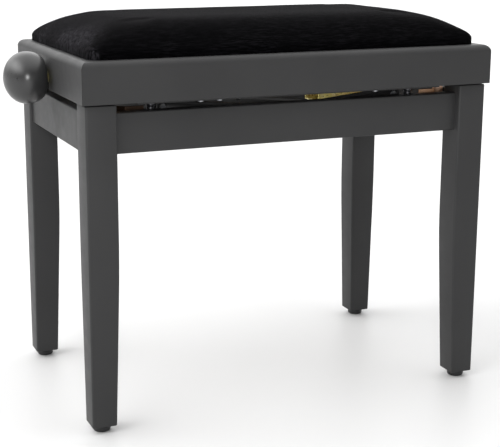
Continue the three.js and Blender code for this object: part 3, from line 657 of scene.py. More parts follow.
def spindle_notch():
    """The open-bottomed notch in the left rail that the spindle leaves through."""
    half = SPINDLE_RADIUS + NOTCH_CLEARANCE
    outline = [(half, -10 * MM), *arc((0, SPINDLE_Z - SEAT_LOW.z), half, 0, 180, 24), (-half, -10 * MM)]
    bm = bmesh.new()
    ends = (SEAT_LOW.x - 5 * MM, SEAT_LOW.x + RAIL_WIDTH + 5 * MM)
    loft(bm, [[(x, y, SEAT_LOW.z + z) for y, z in outline] for x in ends])
    return piece_from("notch_cutter", bm)


def make_seat_frame(materials):
    length, width = SEAT_HIGH.x - SEAT_LOW.x, SEAT_HIGH.y - SEAT_LOW.y
    mid, base = SEAT_MIDDLE, SEAT_LOW.z
    rails = {
        "front": (length, 0, (mid.x, SEAT_LOW.y, base), "lacquer_x"),
        "right": (width, math.pi / 2, (SEAT_HIGH.x, mid.y, base), "lacquer_y"),
        "rear": (length, math.pi, (mid.x, SEAT_HIGH.y, base), "lacquer_x"),
        "left": (width, -math.pi / 2, (SEAT_LOW.x, mid.y, base), "lacquer_y"),
    }
    for name, (size, turn, origin, material) in rails.items():
        rail = mitred_rail(f"frame_rail_{name}", size, turn, origin)
        if name == "left":
            combine(rail, spindle_notch(), "DIFFERENCE")
        soften(rail, 0.3 * MM, angle=40)
        dress(rail, materials[material], "seat", "lacquered_wood", f"seat_rail_{name}")


# ---------------------------------------------------------------- legs, aprons, glides

def leg_width(z, top, size):
    """A leg's width at a height: straight at the top, then an eased taper to the foot."""
    start = top - LEG_TAPER_DROP
    t = max(0, (start - z) / (start - GLIDE_HEIGHT))
    eased = t * t / (2 * LEG_TAPER_EASE) if t < LEG_TAPER_EASE else t - LEG_TAPER_EASE / 2
    return size - LEG_TAPER * eased / (1 - LEG_TAPER_EASE / 2)


def make_leg(corner, sign_x, sign_y):
    low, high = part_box(f"leg_{corner}")
    outer_x = low.x if sign_x < 0 else high.x
    outer_y = low.y if sign_y < 0 else high.y
    size = high.x - low.x
    foot, top = low.z, high.z

    def ring(z, inset):
        width = leg_width(z, top, size)
        square = rounded_rectangle(inset, inset, width - inset, width - inset, LEG_EDGE - inset * 0.6, 5)
        return [(outer_x - sign_x * x, outer_y - sign_y * y, z) for x, y in square]

    end = LEG_END_EDGE
    rounding = [(end * (1 - math.sin(math.radians(a))), end * (1 - math.cos(math.radians(a))))
                for a in (0, 30, 60, 90)]
    start = top - LEG_TAPER_DROP
    ease_end = start - LEG_TAPER_EASE * (start - GLIDE_HEIGHT)
    heights = [ease_end + (start - ease_end) * i / 8 for i in range(9)]
    bm = bmesh.new()
    loft(bm, [
        *[ring(foot + rise, inset) for inset, rise in rounding],
        *[ring(z, 0) for z in heights],
        *[ring(top - rise, inset) for inset, rise in reversed(rounding)],
    ])
    return piece_from(f"tapered_leg_{corner}", bm)


def make_glide(corner):
    low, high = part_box(f"glide_{corner}")
    centre = (low + high) / 2
    radius = (high.x - low.x) / 2
    flat, waist = radius - GLIDE_ROUND, radius - GLIDE_GROOVE
    turns = [math.radians(a) for a in (0, 22, 45, 68, 90)]
    profile = [
        (0, 0), (flat - 0.4 * MM, 0),
        *[(flat + GLIDE_ROUND * math.sin(a), GLIDE_ROUND * (1 - math.cos(a))) for a in turns],
        (radius, GLIDE_HEIGHT - 2.2 * MM), (waist, GLIDE_HEIGHT - 1.9 * MM),
        (waist, GLIDE_HEIGHT - 1.5 * MM), (radius, GLIDE_HEIGHT - 1.2 * MM),
        (radius, GLIDE_HEIGHT - 0.1 * MM), (GLIDE_STUD_RADIUS, GLIDE_HEIGHT - 0.1 * MM),
        (GLIDE_STUD_RADIUS, high.z), (0, high.z),
    ]
    return turned(f"floor_glide_{corner}", profile, Matrix.Translation((centre.x, centre.y, low.z)), 40)


def make_apron(name):
    low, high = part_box(f"apron_{name}")
    along_x = high.x - low.x > high.y - low.y
    bm = bmesh.new()
    if along_x:
        section = rounded_rectangle(low.y, low.z, high.y, high.z, APRON_EDGE, 4)
        loft(bm, [[(x, y, z) for y, z in section] for x in (low.x, high.x)])
    else:
        section = rounded_rectangle(low.x, low.z, high.x, high.z, APRON_EDGE, 4)
        loft(bm, [[(x, y, z) for x, z in section] for y in (low.y, high.y)])
    return piece_from(f"apron_board_{name}", bm), along_x


def make_base(materials):
    for corner, (sign_x, sign_y) in CORNERS.items():
        leg = make_leg(corner, sign_x, sign_y)
        dress(leg, materials["lacquer_z"], "base", "lacquered_wood", f"leg_{corner}")
        dress(make_glide(corner), materials["plastic"], "base", "glide_plastic", f"glide_{corner}")
    for name in ("front", "rear", "left", "right"):
        apron, along_x = make_apron(name)
        material = materials["lacquer_x" if along_x else "lacquer_y"]
        dress(apron, material, "base", "lacquered_wood", f"apron_{name}")


# ---------------------------------------------------------------- cushion

def rise_share(inset):
    """How far the crown has risen at a distance from one edge, from just over 0 to 1."""
    return 1 - (1 - min(1, max(0.0001, inset / CROWN_RUN))) ** CROWN_FULLNESS


def crown_share(x, y, half_x, half_y):
    """How much of the crown's height the cushion has at a place, from 0 at its edge to 1."""
    return 1 / (1 / rise_share(half_x - abs(x)) + 1 / rise_share(half_y - abs(y)) - 1)


def round_corner(x, y, half_x, half_y, radius):
    """Moves a point of a sharp-cornered rectangle into one with round corners."""
    a = max(0, abs(x) - (half_x - radius)) / radius
    b = max(0, abs(y) - (half_y - radius)) / radius
    new_x = (half_x - radius + radius * a * math.sqrt(1 - b * b / 2)) if a > 0 else abs(x)
    new_y = (half_y - radius + radius * b * math.sqrt(1 - a * a / 2)) if b > 0 else abs(y)
    return math.copysign(new_x, x), math.copysign(new_y, y)


def cushion_half():
    """Half the cushion's length and half its width."""
    return ((SEAT_HIGH.x - SEAT_LOW.x) / 2 - CUSHION_INSET,
            (SEAT_HIGH.y - SEAT_LOW.y) / 2 - CUSHION_INSET)


def cushion_mesh():
    """The velvet cover as a closed skin: crowned top, upright wall, and a hem round the seat board."""
    half_x, half_y = cushion_half()
    hem = SEAT_HIGH.z + CUSHION_LIFT
    board_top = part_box("seat_board")[1].z + HEM_LIFT
    crown = (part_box("cushion")[1].z - hem - CUSHION_WALL) * CUSHION_START
    columns = 2 * round(half_x / CUSHION_SPACING)
    rows = 2 * round(half_y / CUSHION_SPACING)
    bm = bmesh.new()

    def vertex(x, y, z):
        return bm.verts.new((SEAT_MIDDLE.x + x, SEAT_MIDDLE.y + y, z))

    grid = []
    for i in range(columns + 1):
        column = []
        for j in range(rows + 1):
            x, y = half_x * (2 * i / columns - 1), half_y * (2 * j / rows - 1)
            px, py = round_corner(x, y, half_x, half_y, CUSHION_CORNER)
            column.append(vertex(px, py, hem + CUSHION_WALL + crown * crown_share(x, y, half_x, half_y)))
        grid.append(column)
    for i in range(columns):
        for j in range(rows):
            bm.faces.new((grid[i][j], grid[i + 1][j], grid[i + 1][j + 1], grid[i][j + 1]))
    rim = ([grid[i][0] for i in range(columns)] + [grid[columns][j] for j in range(rows)]
           + [grid[i][rows] for i in range(columns, 0, -1)] + [grid[0][j] for j in range(rows, 0, -1)])

    def lower_ring(inset, z):
        ring = []
        for v in rim:
            x, y = v.co.x - SEAT_MIDDLE.x, v.co.y - SEAT_MIDDLE.y
            ring.append(vertex(x * (half_x - inset) / half_x, y * (half_y - inset) / half_y, z))
        return ring

    rings = [rim, lower_ring(0, hem + CUSHION_WALL * 0.6), lower_ring(0, hem + CUSHION_WALL * 0.3),
             lower_ring(0, hem + HEM_FOLD), lower_ring(0, hem), lower_ring(HEM_FOLD, hem),
             lower_ring(HEM_THICKNESS, hem), lower_ring(HEM_THICKNESS, board_top)]
    for upper, lower in zip(rings, rings[1:]):
        for i in range(len(rim)):
            j = (i + 1) % len(rim)
            bm.faces.new((upper[i], lower[i], lower[j], upper[j]))
    underside = dict(zip(rim, rings[-1]))
    for i in range(1, columns):
        for j in range(1, rows):
            x, y = half_x * (2 * i / columns - 1), half_y * (2 * j / rows - 1)
            underside[grid[i][j]] = vertex(x * 0.985, y * 0.985, board_top)
    for i in range(columns):
        for j in range(rows):
            top = (grid[i][j], grid[i][j + 1], grid[i + 1][j + 1], grid[i + 1][j])
            bm.faces.new([underside[v] for v in top])
    bm.verts.index_update()
    held = {v.index for ring in rings[1:] for v in ring} | {v.index for v in underside.values()}
    return bm, held


def blow_up(piece, held):
    """Blows the cover up by cloth simulation, held at its hem, and caps how far each point moves."""
    rest = [v.co.copy() for v in piece.data.vertices]
    group = piece.vertex_groups.new(name="hem")
    group.add(sorted(held), 1.0, "REPLACE")
    cloth = piece.modifiers.new("cloth", "CLOTH")
    settings = cloth.settings
    settings.quality = 6
    settings.mass = 0.3
    settings.tension_stiffness = 25
    settings.compression_stiffness = 25
    settings.shear_stiffness = 10
    settings.bending_stiffness = 2.0
    settings.use_pressure = True
    settings.uniform_pressure_force = 4
    settings.vertex_group_mass = "hem"
    settings.effector_weights.gravity = 0
    cloth.collision_settings.use_collision = False
    for step in range(1, 21):
        bpy.context.scene.frame_set(step)
    bake(piece)
    wall_top = SEAT_HIGH.z + CUSHION_LIFT + CUSHION_WALL
    for v, start in zip(piece.data.vertices, rest):
        moved = v.co - start
        cap = CUSHION_CAP * min(1, max(0.08, (start.z - wall_top) / CUSHION_WALL))
        if moved.length > 0:
            v.co = start + moved * (cap * math.tanh(moved.length / cap) / moved.length)
    piece.vertex_groups.clear()
    bpy.context.scene.frame_set(1)


def tuck_corners(piece):
    """Presses two short tucks into the cover's wall at each corner, where the velvet is folded under."""
    hem = SEAT_HIGH.z + CUSHION_LIFT
    centre_x, centre_y = (half - CUSHION_CORNER for half in cushion_half())
    for v in piece.data.vertices:
        x, y = v.co.x - SEAT_MIDDLE.x, v.co.y - SEAT_MIDDLE.y
        over_x, over_y = abs(x) - centre_x, abs(y) - centre_y
        outwards = math.hypot(max(over_x, 0), max(over_y, 0))
        if over_x <= 0 or over_y <= 0 or outwards < 0.6 * CUSHION_CORNER or v.co.z < hem + 0.2 * MM:
            continue
        angle = math.degrees(math.atan2(over_y, over_x))
        crease = sum(math.exp(-((angle - tuck) / TUCK_WIDTH) ** 2) for tuck in TUCK_ANGLES)
        fade = max(0, 1 - (v.co.z - hem) / TUCK_HEIGHT)
        push = TUCK_DEPTH * crease * fade
        v.co.x -= math.copysign(push * over_x / outwards, x)
        v.co.y -= math.copysign(push * over_y / outwards, y)


def settle(piece):
    """A very slight unevenness of the foam under the velvet."""
    hem = SEAT_HIGH.z + CUSHION_LIFT
    for v in piece.data.vertices:
        rise = min(1, max(0, (v.co.z - hem - CUSHION_WALL) / (12 * MM)))
        v.co.z += FOAM_UNEVENNESS * rise * noise.noise(v.co * 22)


def make_cushion(materials):
    bm, held = cushion_mesh()
    cover = piece_from("velvet_cushion", bm)
    blow_up(cover, held)
    tuck_corners(cover)
    settle(cover)
    smooth = cover.modifiers.new("smooth", "SUBSURF")
    smooth.levels = smooth.render_levels = 1
    bake(cover)
    cover.data.shade_smooth()
    cover.data.set_sharp_from_angle(angle=math.radians(60))
    dress(cover, materials["velvet"], "seat", "velvet", "cushion")


# ---------------------------------------------------------------- knob and spindle

def make_knob(materials):
    low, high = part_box("knob")
    radius = (high.z - low.z) / 2
    length = high.x - low.x
    front = length - KNOB_BACK_LENGTH
    bore = SPINDLE_RADIUS + 0.1 * MM
    steps = 16
    quarter = [math.pi / 2 * i / steps for i in range(steps + 1)]
    back, swell = KNOB_BACK_RADIUS, radius - KNOB_BACK_RADIUS
    profile = [
        (0, KNOB_BORE_DEPTH), (bore, KNOB_BORE_DEPTH), (bore, KNOB_BORE_EDGE), (bore + KNOB_BORE_EDGE, 0),
        (back - KNOB_BACK_EDGE, 0),
        *[(back + swell * math.sin(q), KNOB_BACK_LENGTH * (1 - math.cos(q))) for q in quarter[1:]],
        *[(radius * math.cos(q), KNOB_BACK_LENGTH + front * math.sin(q)) for q in quarter[1:-1]],
        (0, length),
    ]
    place = pointing((-1, 0, 0), (high.x, middle("knob").y, middle("knob").z))
    knob = turned("ball_knob", profile, place, 96)
    dress(knob, materials["knob"], "spindle", "knob_lacquer", "knob")


def make_ring(name, node, hole_radius, materials, material, slot, edge=0.4 * MM, grub=False):
    """A ring on the spindle with chamfered rims, and a grub screw on a collar."""
    low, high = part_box(node)
    radius, length = (high.z - low.z) / 2, high.x - low.x
    profile = [
        (hole_radius, edge), (hole_radius + edge, 0), (radius - edge, 0), (radius, edge),
        (radius, length - edge), (radius - edge, length), (hole_radius + edge, length),
        (hole_radius, length - edge),
    ]
    centre = middle(node)
    ring = turned(name, profile, pointing((1, 0, 0), (low.x, centre.y, centre.z)), 48)
    if grub:
        top = 1 * MM
        outline = [(0, -GRUB_DEPTH), (GRUB_RADIUS, -GRUB_DEPTH), (GRUB_RADIUS, top), (0, top)]
        place = pointing((0, 0, 1), (centre.x, centre.y, high.z - 0.2 * MM))
        socket = turned("socket_cutter", outline, place, 6)
        combine(ring, socket, "DIFFERENCE")
    dress(ring, materials[material], "spindle", slot, node)


def make_spindle(materials):
    low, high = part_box("spindle")
    nut_low, nut_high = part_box("spindle_nut")
    start = nut_low.x - NUT_TRAVEL - THREAD_BEFORE_NUT - low.x
    end = nut_high.x + THREAD_PAST_NUT - low.x
    thread = (start, end, SPINDLE_THREAD, SPINDLE_PITCH)
    centre = middle("spindle")
    place = pointing((1, 0, 0), (low.x, centre.y, centre.z))
    spindle = threaded_bar("threaded_spindle", SPINDLE_RADIUS, high.x - low.x, thread, place)
    dress(spindle, materials["zinc"], "spindle", "zinc", "spindle")
    hole = SPINDLE_RADIUS + 0.15 * MM
    make_ring("brass_knob_washer", "knob_washer", hole, materials, "yellow_zinc", "yellow_zinc")
    make_ring("spindle_collar_inner", "collar_inner", hole, materials, "zinc", "zinc", grub=True)
    make_ring("spindle_collar_outer", "collar_outer", hole, materials, "zinc", "zinc", grub=True)


# ---------------------------------------------------------------- small fasteners

def add_pan_head(radius, height):
    """Returns a drawer of one pan-head screw head, its recess a sunk disc, seated on z = 0."""
    def draw(bm, place):
        recess = 0.42 * radius
        rim = [p for p in dome(radius, 0.35 * height, 0.65 * height, 5) if p[0] > recess * 1.15]
        profile = [(0, 0), (radius, 0), *rim, (recess, height * 0.99), (recess * 0.7, height * 0.45),
                   (0, height * 0.4)]
        turn_profile(bm, profile, 20, place)
    return draw


def add_rivet(radius, height):
    """Returns a drawer of one domed rivet head, seated on z = 0."""
    def draw(bm, place):
        turn_profile(bm, [(0, 0), (radius, 0), *dome(radius, 0, height, 5)[1:], (0, height)], 20, place)
    return draw


def make_fasteners(name, places, draw, material, body, slot):
    piece = join_shells(name, places, draw)
    dress(piece, material, body, slot)


# ---------------------------------------------------------------- corner brackets

def make_hanger_bolt(corner, sign_x, sign_y, materials):
    """The bolt on a corner's diagonal. Returns the diagonal's direction inwards."""
    low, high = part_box(f"hanger_bolt_{corner}")
    inward = Vector((-sign_x, -sign_y, 0)).normalized()
    radius = (high.z - low.z) / 2
    centre = (low + high) / 2
    length = (high.x - low.x - 2 * radius * math.sqrt(0.5)) * math.sqrt(2)
    start = centre - inward * length / 2
    thread = (BOLT_THREAD_START, length - 1 * MM, BOLT_THREAD, BOLT_PITCH)
    place = pointing(inward, start)
    bolt = threaded_bar(f"threaded_hanger_bolt_{corner}", radius, length, thread, place, 24, 0.5 * MM)
    dress(bolt, materials["zinc"], "base", "zinc", f"hanger_bolt_{corner}")
    return inward


def wing_outline(hub, tip, half):
    """One wing of a wing nut, as (distance along the bolt, height) points."""
    return [
        (1.5 * MM, 4.6 * MM), (2.2 * MM, hub + 1.6 * MM), (tip - 5.2 * MM, half - 2.2 * MM),
        *arc((tip - 3.6 * MM, half - 3.6 * MM), 3.6 * MM, 110, -20, 8),
        (hub + 1.2 * MM, 4.6 * MM),
    ]


def make_wing_nut(corner, inward, materials):
    low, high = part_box(f"wing_nut_{corner}")
    hub_radius, hub_length = WING_HUB_RADIUS, WING_HUB_LENGTH
    leg_low, leg_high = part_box(f"leg_{corner}")
    inner_x = leg_high.x if inward.x > 0 else leg_low.x
    inner_y = leg_high.y if inward.y > 0 else leg_low.y
    seat = Vector((inner_x, inner_y, (low.z + high.z) / 2)) + inward * WING_SEAT
    place = pointing(inward, seat)
    up = (place.to_3x3().inverted() @ Vector((0, 0, 1))).normalized()
    bore = round_radius(f"hanger_bolt_{corner}") + 0.15 * MM
    hub = turned(f"cast_wing_nut_{corner}", [
        (bore, 0.4 * MM), (bore + 0.4 * MM, 0), (hub_radius + 0.4 * MM, 0), (hub_radius + 0.4 * MM, 1 * MM),
        (hub_radius - 0.6 * MM, hub_length - 1 * MM), (hub_radius - 1.2 * MM, hub_length),
        (bore + 0.4 * MM, hub_length), (bore, hub_length - 0.4 * MM)], place, 32)
    across = up.cross(Vector((0, 0, 1)))
    for side in (1, -1):
        axes = Matrix((Vector((0, 0, 1)), up * side, -across * side)).transposed().to_4x4()
        outline = wing_outline(hub_length, WING_TIP, WING_HALF_SPAN)
        wing = plate("wing", outline, [], WING_THICKNESS, place @ axes, 0.7 * MM)
        combine(hub, wing, "UNION")
    hub.data.shade_smooth()
    hub.data.set_sharp_from_angle(angle=SMOOTH_ANGLE)
    dress(hub, materials["zinc"], "base", "zinc", f"wing_nut_{corner}")


def make_corner_fittings(materials):
    screws = []
    for corner, (sign_x, sign_y) in CORNERS.items():
        refine_node(f"corner_bracket_{corner}", 0.5 * MM)
        dress_node(f"corner_bracket_{corner}", materials["copper_zinc"])
        inward = make_hanger_bolt(corner, sign_x, sign_y, materials)
        make_wing_nut(corner, inward, materials)
        low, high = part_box(f"corner_bracket_{corner}")
        z_mid = (low.z + high.z) / 2
        long_face = (high.y if sign_y > 0 else low.y) - sign_y * BRACKET_STEEL
        short_face = (high.x if sign_x > 0 else low.x) - sign_x * BRACKET_STEEL
        long_x = (low.x if sign_x > 0 else high.x) + sign_x * BRACKET_SCREW_INSET
        short_y = (low.y if sign_y > 0 else high.y) + sign_y * BRACKET_SCREW_INSET
        for z in (z_mid - BRACKET_SCREW_SPREAD, z_mid + BRACKET_SCREW_SPREAD):
            screws.append(pointing((0, -sign_y, 0), (long_x, long_face, z)))
            screws.append(pointing((-sign_x, 0, 0), (short_face, short_y, z)))
    make_fasteners("bracket_screws", screws, add_pan_head(*WOOD_SCREW), materials["black_steel"],
                   "base", "black_steel")


# ---------------------------------------------------------------- lift

def upright_places(along, across, z, direction):
    """Placements at every crossing of the given X and Y values, facing up or down."""
    return [pointing((0, 0, direction), (x, y, z)) for x in along for y in across]


def make_rod(name, node, body, materials, clips=()):
    """A round rod across the bench with chamfered ends, and retaining rings near its ends."""
    low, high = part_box(node)
    radius, length = (high.z - low.z) / 2, high.y - low.y
    edge = 0.6 * MM
    profile = [(0, 0), (radius - edge, 0), (radius, edge)]
    for clip in clips:
        profile += [(radius, clip - 0.5 * MM), (radius - 0.6 * MM, clip - 0.5 * MM),
                    (radius - 0.6 * MM, clip + 0.5 * MM), (radius, clip + 0.5 * MM)]
    profile += [(radius, length - edge), (radius - edge, length), (0, length)]
    centre = middle(node)
    rod = turned(name, profile, pointing((0, 1, 0), (centre.x, low.y, centre.z)), 40)
    dress(rod, materials["zinc"], body, "zinc", node)
    rings = [pointing((0, 1, 0), (centre.x, low.y + clip - 0.35 * MM, centre.z)) for clip in clips]
    if rings:
        def draw(bm, place):
            inner, outer = radius - 0.5 * MM, radius + 1.6 * MM
            turn_profile(bm, [(inner, 0), (outer, 0), (outer, 0.7 * MM), (inner, 0.7 * MM)], 32, place)
        make_fasteners(f"{name}_rings", rings, draw, materials["zinc"], body, "zinc")


def make_arm(side, kind, body, middle_gap, materials):
    """A flat scissor arm with an eye at each end, drawn in its own plane and laid along its slope."""
    node = f"{kind}_arm_{side}"
    low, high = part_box(node)
    first, last = (middle(rod) for rod in ARM_RODS[kind])
    slope = math.atan2(last.z - first.z, last.x - first.x)
    length = math.hypot(last.z - first.z, last.x - first.x)
    thickness = high.y - low.y
    radius = (high.z - low.z - abs(last.z - first.z)) / 2
    rod_radius = round_radius("lower_pivot_rod")
    eye = rod_radius + ARM_EYE_GAP
    outline = [*arc((length, 0), radius, -90, 90, 20), *arc((0, 0), radius, 90, 270, 20)]
    middle_hole = circle((length / 2, 0), rod_radius + middle_gap)
    holes = [circle((0, 0), eye), middle_hole, circle((length, 0), eye)]
    turn = Matrix.Rotation(-slope, 4, "Y") @ Matrix.Rotation(math.pi / 2, 4, "X")
    place = Matrix.Translation((first.x, (low.y + high.y) / 2, first.z)) @ turn
    arm = plate(f"scissor_{kind}_arm_{side}", outline, holes, thickness, place, 0.5 * MM)
    dress(arm, materials["black_steel"], body, "black_steel", node)


def make_middle_pin(side, sign, materials):
    low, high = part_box(f"middle_pin_{side}")
    centre = (low + high) / 2
    head_radius = (high.z - low.z) / 2
    length = high.y - low.y
    neck = length - PIN_HEAD
    chamfer = 0.5 * MM
    profile = [(0, 0), (PIN_SHANK - chamfer, 0), (PIN_SHANK, chamfer), (PIN_SHANK, neck),
               *dome(head_radius, neck, PIN_HEAD, 6), (0, length)]
    start = low.y if sign > 0 else high.y
    pin = turned(f"crossing_pin_{side}", profile, pointing((0, sign, 0), (centre.x, start, centre.z)), 36)
    dress(pin, materials["zinc"], "standing_arms", "zinc", f"middle_pin_{side}")


def make_stop(side, end, materials):
    """A turned stop post: a flared foot, a waist and a domed cap."""
    node = f"lift_stop_{side}_{end}"
    low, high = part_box(node)
    centre = (low + high) / 2
    radius, height = (high.x - low.x) / 2, high.z - low.z
    foot = [(0, 0), (0, 1.2), (0.5, 1.6), (0.2, 4)]  # millimetres inwards and up
    cap = [(1, 8), (1, 7.4), (0.2, 7), (0, 6.4), (0, 1), (0.35, 0.3), (1, 0)]  # and down from the tip
    profile = [
        (0, 0), *[(radius - inset * MM, rise * MM) for inset, rise in foot],
        *[(radius - inset * MM, height - drop * MM) for inset, drop in cap], (0, height),
    ]
    stop = turned(f"stop_post_{side}_{end}", profile, Matrix.Translation((centre.x, centre.y, low.z)), 40)
    dress(stop, materials["dark_zinc"], "base", "zinc", node)


def make_nut(materials):
    """The spindle's nut: a block with round edges and a round bore."""
    low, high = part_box("spindle_nut")
    centre = (low + high) / 2
    half = high - centre
    outline = rounded_rectangle(-half.y, -half.z, half.y, half.z, 1 * MM, 3)
    bore = circle((0, 0), SPINDLE_RADIUS + 0.6 * MM, 40)
    axes = Matrix(((0, 0, 1), (1, 0, 0), (0, 1, 0))).to_4x4()
    nut = plate("lift_nut", outline, [bore], high.x - low.x, Matrix.Translation(centre) @ axes, 0.6 * MM)
    dress(nut, materials["zinc"], "carriage", "zinc", "spindle_nut")


def make_lift(materials):
    steel = ["lower_rail_front", "lower_rail_rear", "lower_tie_left", "lower_tie_right",
             "upper_rail_front", "upper_rail_rear", "bearing_bracket_left", "bearing_bracket_right"]
    for node in steel:
        refine_node(node, SHEET_EDGE)
        dress_node(node, materials["black_steel"])
    refine_node("nut_carriage", 0.5 * MM)
    dress_node("nut_carriage", materials["yellow_zinc"])
    for side, sign in SIDES.items():
        make_arm(side, "standing", "standing_arms", STANDING_HOLE_GAP, materials)
        make_arm(side, "hanging", "hanging_arms", HANGING_HOLE_GAP, materials)
        make_middle_pin(side, sign, materials)
        for end in ENDS:
            make_stop(side, end, materials)
    rail_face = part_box("lower_rail_rear")[1].y
    rod_low, rod_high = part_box("lower_pivot_rod")
    clip = rod_high.y - rail_face + STEEL + CLIP_GAP
    make_rod("lower_pivot_bar", "lower_pivot_rod", "base", materials,
             (clip, rod_high.y - rod_low.y - clip))
    make_rod("lower_slide_bar", "lower_slide_rod", "hanging_arms", materials)
    make_rod("upper_pivot_bar", "upper_pivot_rod", "seat", materials)
    make_rod("upper_slide_bar", "upper_slide_rod", "standing_arms", materials)
    make_nut(materials)


def make_rail_screws(materials):
    """Screws that hold the upper rails to the seat frame and the lower rails to the aprons."""
    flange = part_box("upper_rail_front")[1].z - STEEL
    across = (SEAT_LOW.y + RAIL_WIDTH / 2 + 4 * MM, SEAT_HIGH.y - RAIL_WIDTH / 2 - 4 * MM)
    along = [SEAT_MIDDLE.x + x for x in FRAME_SCREWS_X]
    make_fasteners("seat_frame_screws", upright_places(along, across, flange, -1),
                   add_pan_head(*FRAME_SCREW), materials["zinc"], "seat", "zinc")
    low, high = span("lower_rail_front", "lower_rail_rear")
    z = low.z + APRON_SCREW_RISE
    screws = []
    for sign, face in ((-1, low.y + STEEL), (1, high.y - STEEL)):
        for x in APRON_SCREWS_X:
            screws.append(pointing((0, -sign, 0), (SEAT_MIDDLE.x + x, face, z)))
    make_fasteners("apron_rail_screws", screws, add_pan_head(*WOOD_SCREW), materials["zinc"],
                   "base", "zinc")


def make_rivets(materials):
    """Rivets through the ties and the bearing brackets, with a head on both sides."""
    draw = add_rivet(*RIVET)
    tie_low, tie_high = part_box("lower_tie_left")
    half = (tie_high.y - tie_low.y) / 2
    along = [middle("lower_tie_left").x, middle("lower_tie_right").x]
    across = (TIE_RIVET_INSET - half, half - TIE_RIVET_INSET)
    rail_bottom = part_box("lower_rail_front")[0].z
    places = upright_places(along, across, tie_high.z, 1) + upright_places(along, across, rail_bottom, -1)
    make_fasteners("tie_rivets", places, draw, materials["zinc"], "base", "zinc")
    low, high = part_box("bearing_bracket_right")
    along = [high.x - BEARING_RIVETS_X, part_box("bearing_bracket_left")[0].x + BEARING_RIVETS_X]
    across = [s * (high.y - y) for s in (-1, 1) for y in BEARING_RIVETS_Y]
    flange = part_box("upper_rail_front")[1].z - STEEL
    places = upright_places(along, across, low.z + STEEL, 1) + upright_places(along, across, flange, -1)
    make_fasteners("bearing_rivets", places, draw, materials["zinc"], "seat", "zinc")


# ---------------------------------------------------------------- stage

FLOOR_RADIUS = 14.0
CAMERA_LENS = 85.04
CAMERA_SHIFT = (0.10, -0.06)
CAMERA_PLACE = Vector((-0.5921, -1.3727, 0.5656))  # from the floor under the middle of the seat
CAMERA_YAW = 21.059
CAMERA_PITCH = 12.562
CAMERA_ROLL = -0.213
SKY_FRONT = 0.06
SKY_BACK = 0.60
SKY_LEFT = 5.2
SKY_TOP = 1.2
SKY_RIGHT = 0.55
SKY_REAR_BANK = 1.4  # a long softbox low behind the bench
SKY_SEEN = 1.05  # what the camera sees directly, for a white backdrop
FLASH_PLACE = (-0.62, -1.62, 0.64)
FLASH_TARGET = (-0.25, 0, 0.40)
FLASH_SIZE = 0.30
FLASH_POWER = 9


def make_camera():
    yaw, pitch, roll = (math.radians(a) for a in (CAMERA_YAW, CAMERA_PITCH, CAMERA_ROLL))
    forward = Vector((math.sin(yaw) * math.cos(pitch), math.cos(yaw) * math.cos(pitch), -math.sin(pitch)))
    level = Vector((math.cos(yaw), -math.sin(yaw), 0))
    up = level.cross(forward)
    right = math.cos(roll) * level + math.sin(roll) * up
    up = right.cross(forward)
    data = bpy.data.cameras.new("camera")
    data.lens = CAMERA_LENS
    data.sensor_width = 36
    data.shift_x, data.shift_y = CAMERA_SHIFT
    data.clip_end = 60
    camera = bpy.data.objects.new("camera", data)
    bpy.context.scene.collection.objects.link(camera)
    axes = Matrix((right, up, -forward)).transposed().to_4x4()
    camera.matrix_world = Matrix.Translation(CAMERA_PLACE + Vector((SEAT_MIDDLE.x, 0, 0))) @ axes
    bpy.context.scene.camera = camera


def make_floor():
    bm = bmesh.new()
    bmesh.ops.create_circle(bm, cap_ends=True, segments=96, radius=FLOOR_RADIUS)
    floor = piece_from("floor", bm)
    s = Shader("pale_floor")
    s.color(s.ramp(s.noise(3, 2), [(0.3, (0.60, 0.60, 0.60)), (0.7, (0.61, 0.61, 0.61))]))
    s.set(Roughness=0.45, Specular_IOR_Level=0.22)
    floor.data.materials.append(s.material)


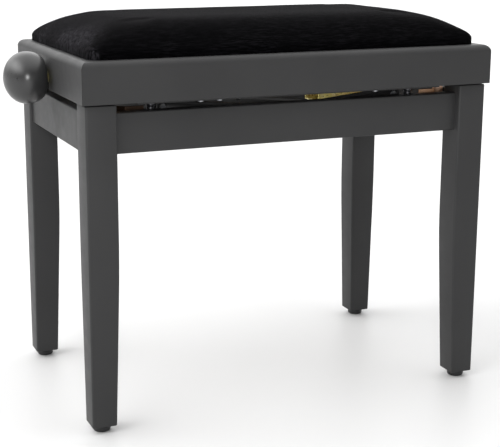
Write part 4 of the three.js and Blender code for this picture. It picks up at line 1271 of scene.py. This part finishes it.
def make_sky():
    """A studio dome: bright above, behind and to the left, dim towards the front."""
    world = bpy.data.worlds.new("studio")
    bpy.context.scene.world = world
    world.use_nodes = True
    sky = Nodes(world.node_tree)
    background = sky.tree.nodes["Background"]
    parts = sky.node("ShaderNodeSeparateXYZ")
    sky.link(sky.node("ShaderNodeTexCoord").outputs["Generated"], parts.inputs[0])

    def bank(axis, low, high, start, end):
        return sky.span(parts.outputs[axis], low, high, start, end, "SMOOTHSTEP")

    depth = bank("Y", SKY_FRONT, SKY_BACK, -0.75, 0.25)
    left = bank("X", SKY_LEFT, 0.0, -0.90, -0.30)
    above = bank("Z", 0.04, 1.0, 0.20, 0.70)
    top = bank("Z", 0.0, SKY_TOP, 0.35, 0.95)
    right = bank("X", 0.0, SKY_RIGHT, 0.15, 0.85)
    behind = bank("Y", 0.0, SKY_REAR_BANK, 0.45, 0.85)
    rising = bank("Z", 0.0, 1.0, 0.08, 0.30)
    level = sky.math("ADD", depth, sky.math("MULTIPLY", left, above))
    level = sky.math("ADD", level, sky.math("MULTIPLY", behind, rising))
    level = sky.math("ADD", level, sky.math("ADD", top, right))
    seen = sky.node("ShaderNodeMix")
    sky.link(sky.node("ShaderNodeLightPath").outputs["Is Camera Ray"], seen.inputs[0])
    sky.link(level, seen.inputs[2])
    seen.inputs[3].default_value = SKY_SEEN
    sky.link(seen.outputs[0], background.inputs["Strength"])
    background.inputs["Color"].default_value = (1, 1, 1, 1)


def make_flash():
    """A small disc light just behind the camera, aimed at the knob's end of the bench."""
    data = bpy.data.lights.new("flash", "AREA")
    data.shape = "DISK"
    data.size = FLASH_SIZE
    data.energy = FLASH_POWER
    light = bpy.data.objects.new("flash", data)
    bpy.context.scene.collection.objects.link(light)
    place = Vector(FLASH_PLACE)
    aim = (Vector(FLASH_TARGET) - place).to_track_quat("-Z", "Y")
    light.matrix_world = Matrix.Translation(place) @ aim.to_matrix().to_4x4()
    light.visible_camera = False


# ---------------------------------------------------------------- the bench

def main():
    make_camera()
    materials = make_materials()
    make_seat_frame(materials)
    make_base(materials)
    refine_node("seat_board", SHEET_EDGE)
    dress_node("seat_board", materials["plywood"])
    make_cushion(materials)
    make_knob(materials)
    make_spindle(materials)
    make_corner_fittings(materials)
    make_lift(materials)
    make_rail_screws(materials)
    make_rivets(materials)
    make_floor()
    make_sky()
    make_flash()
    view = bpy.context.scene.view_settings
    view.view_transform = "Standard"
    view.look = "None"


main()
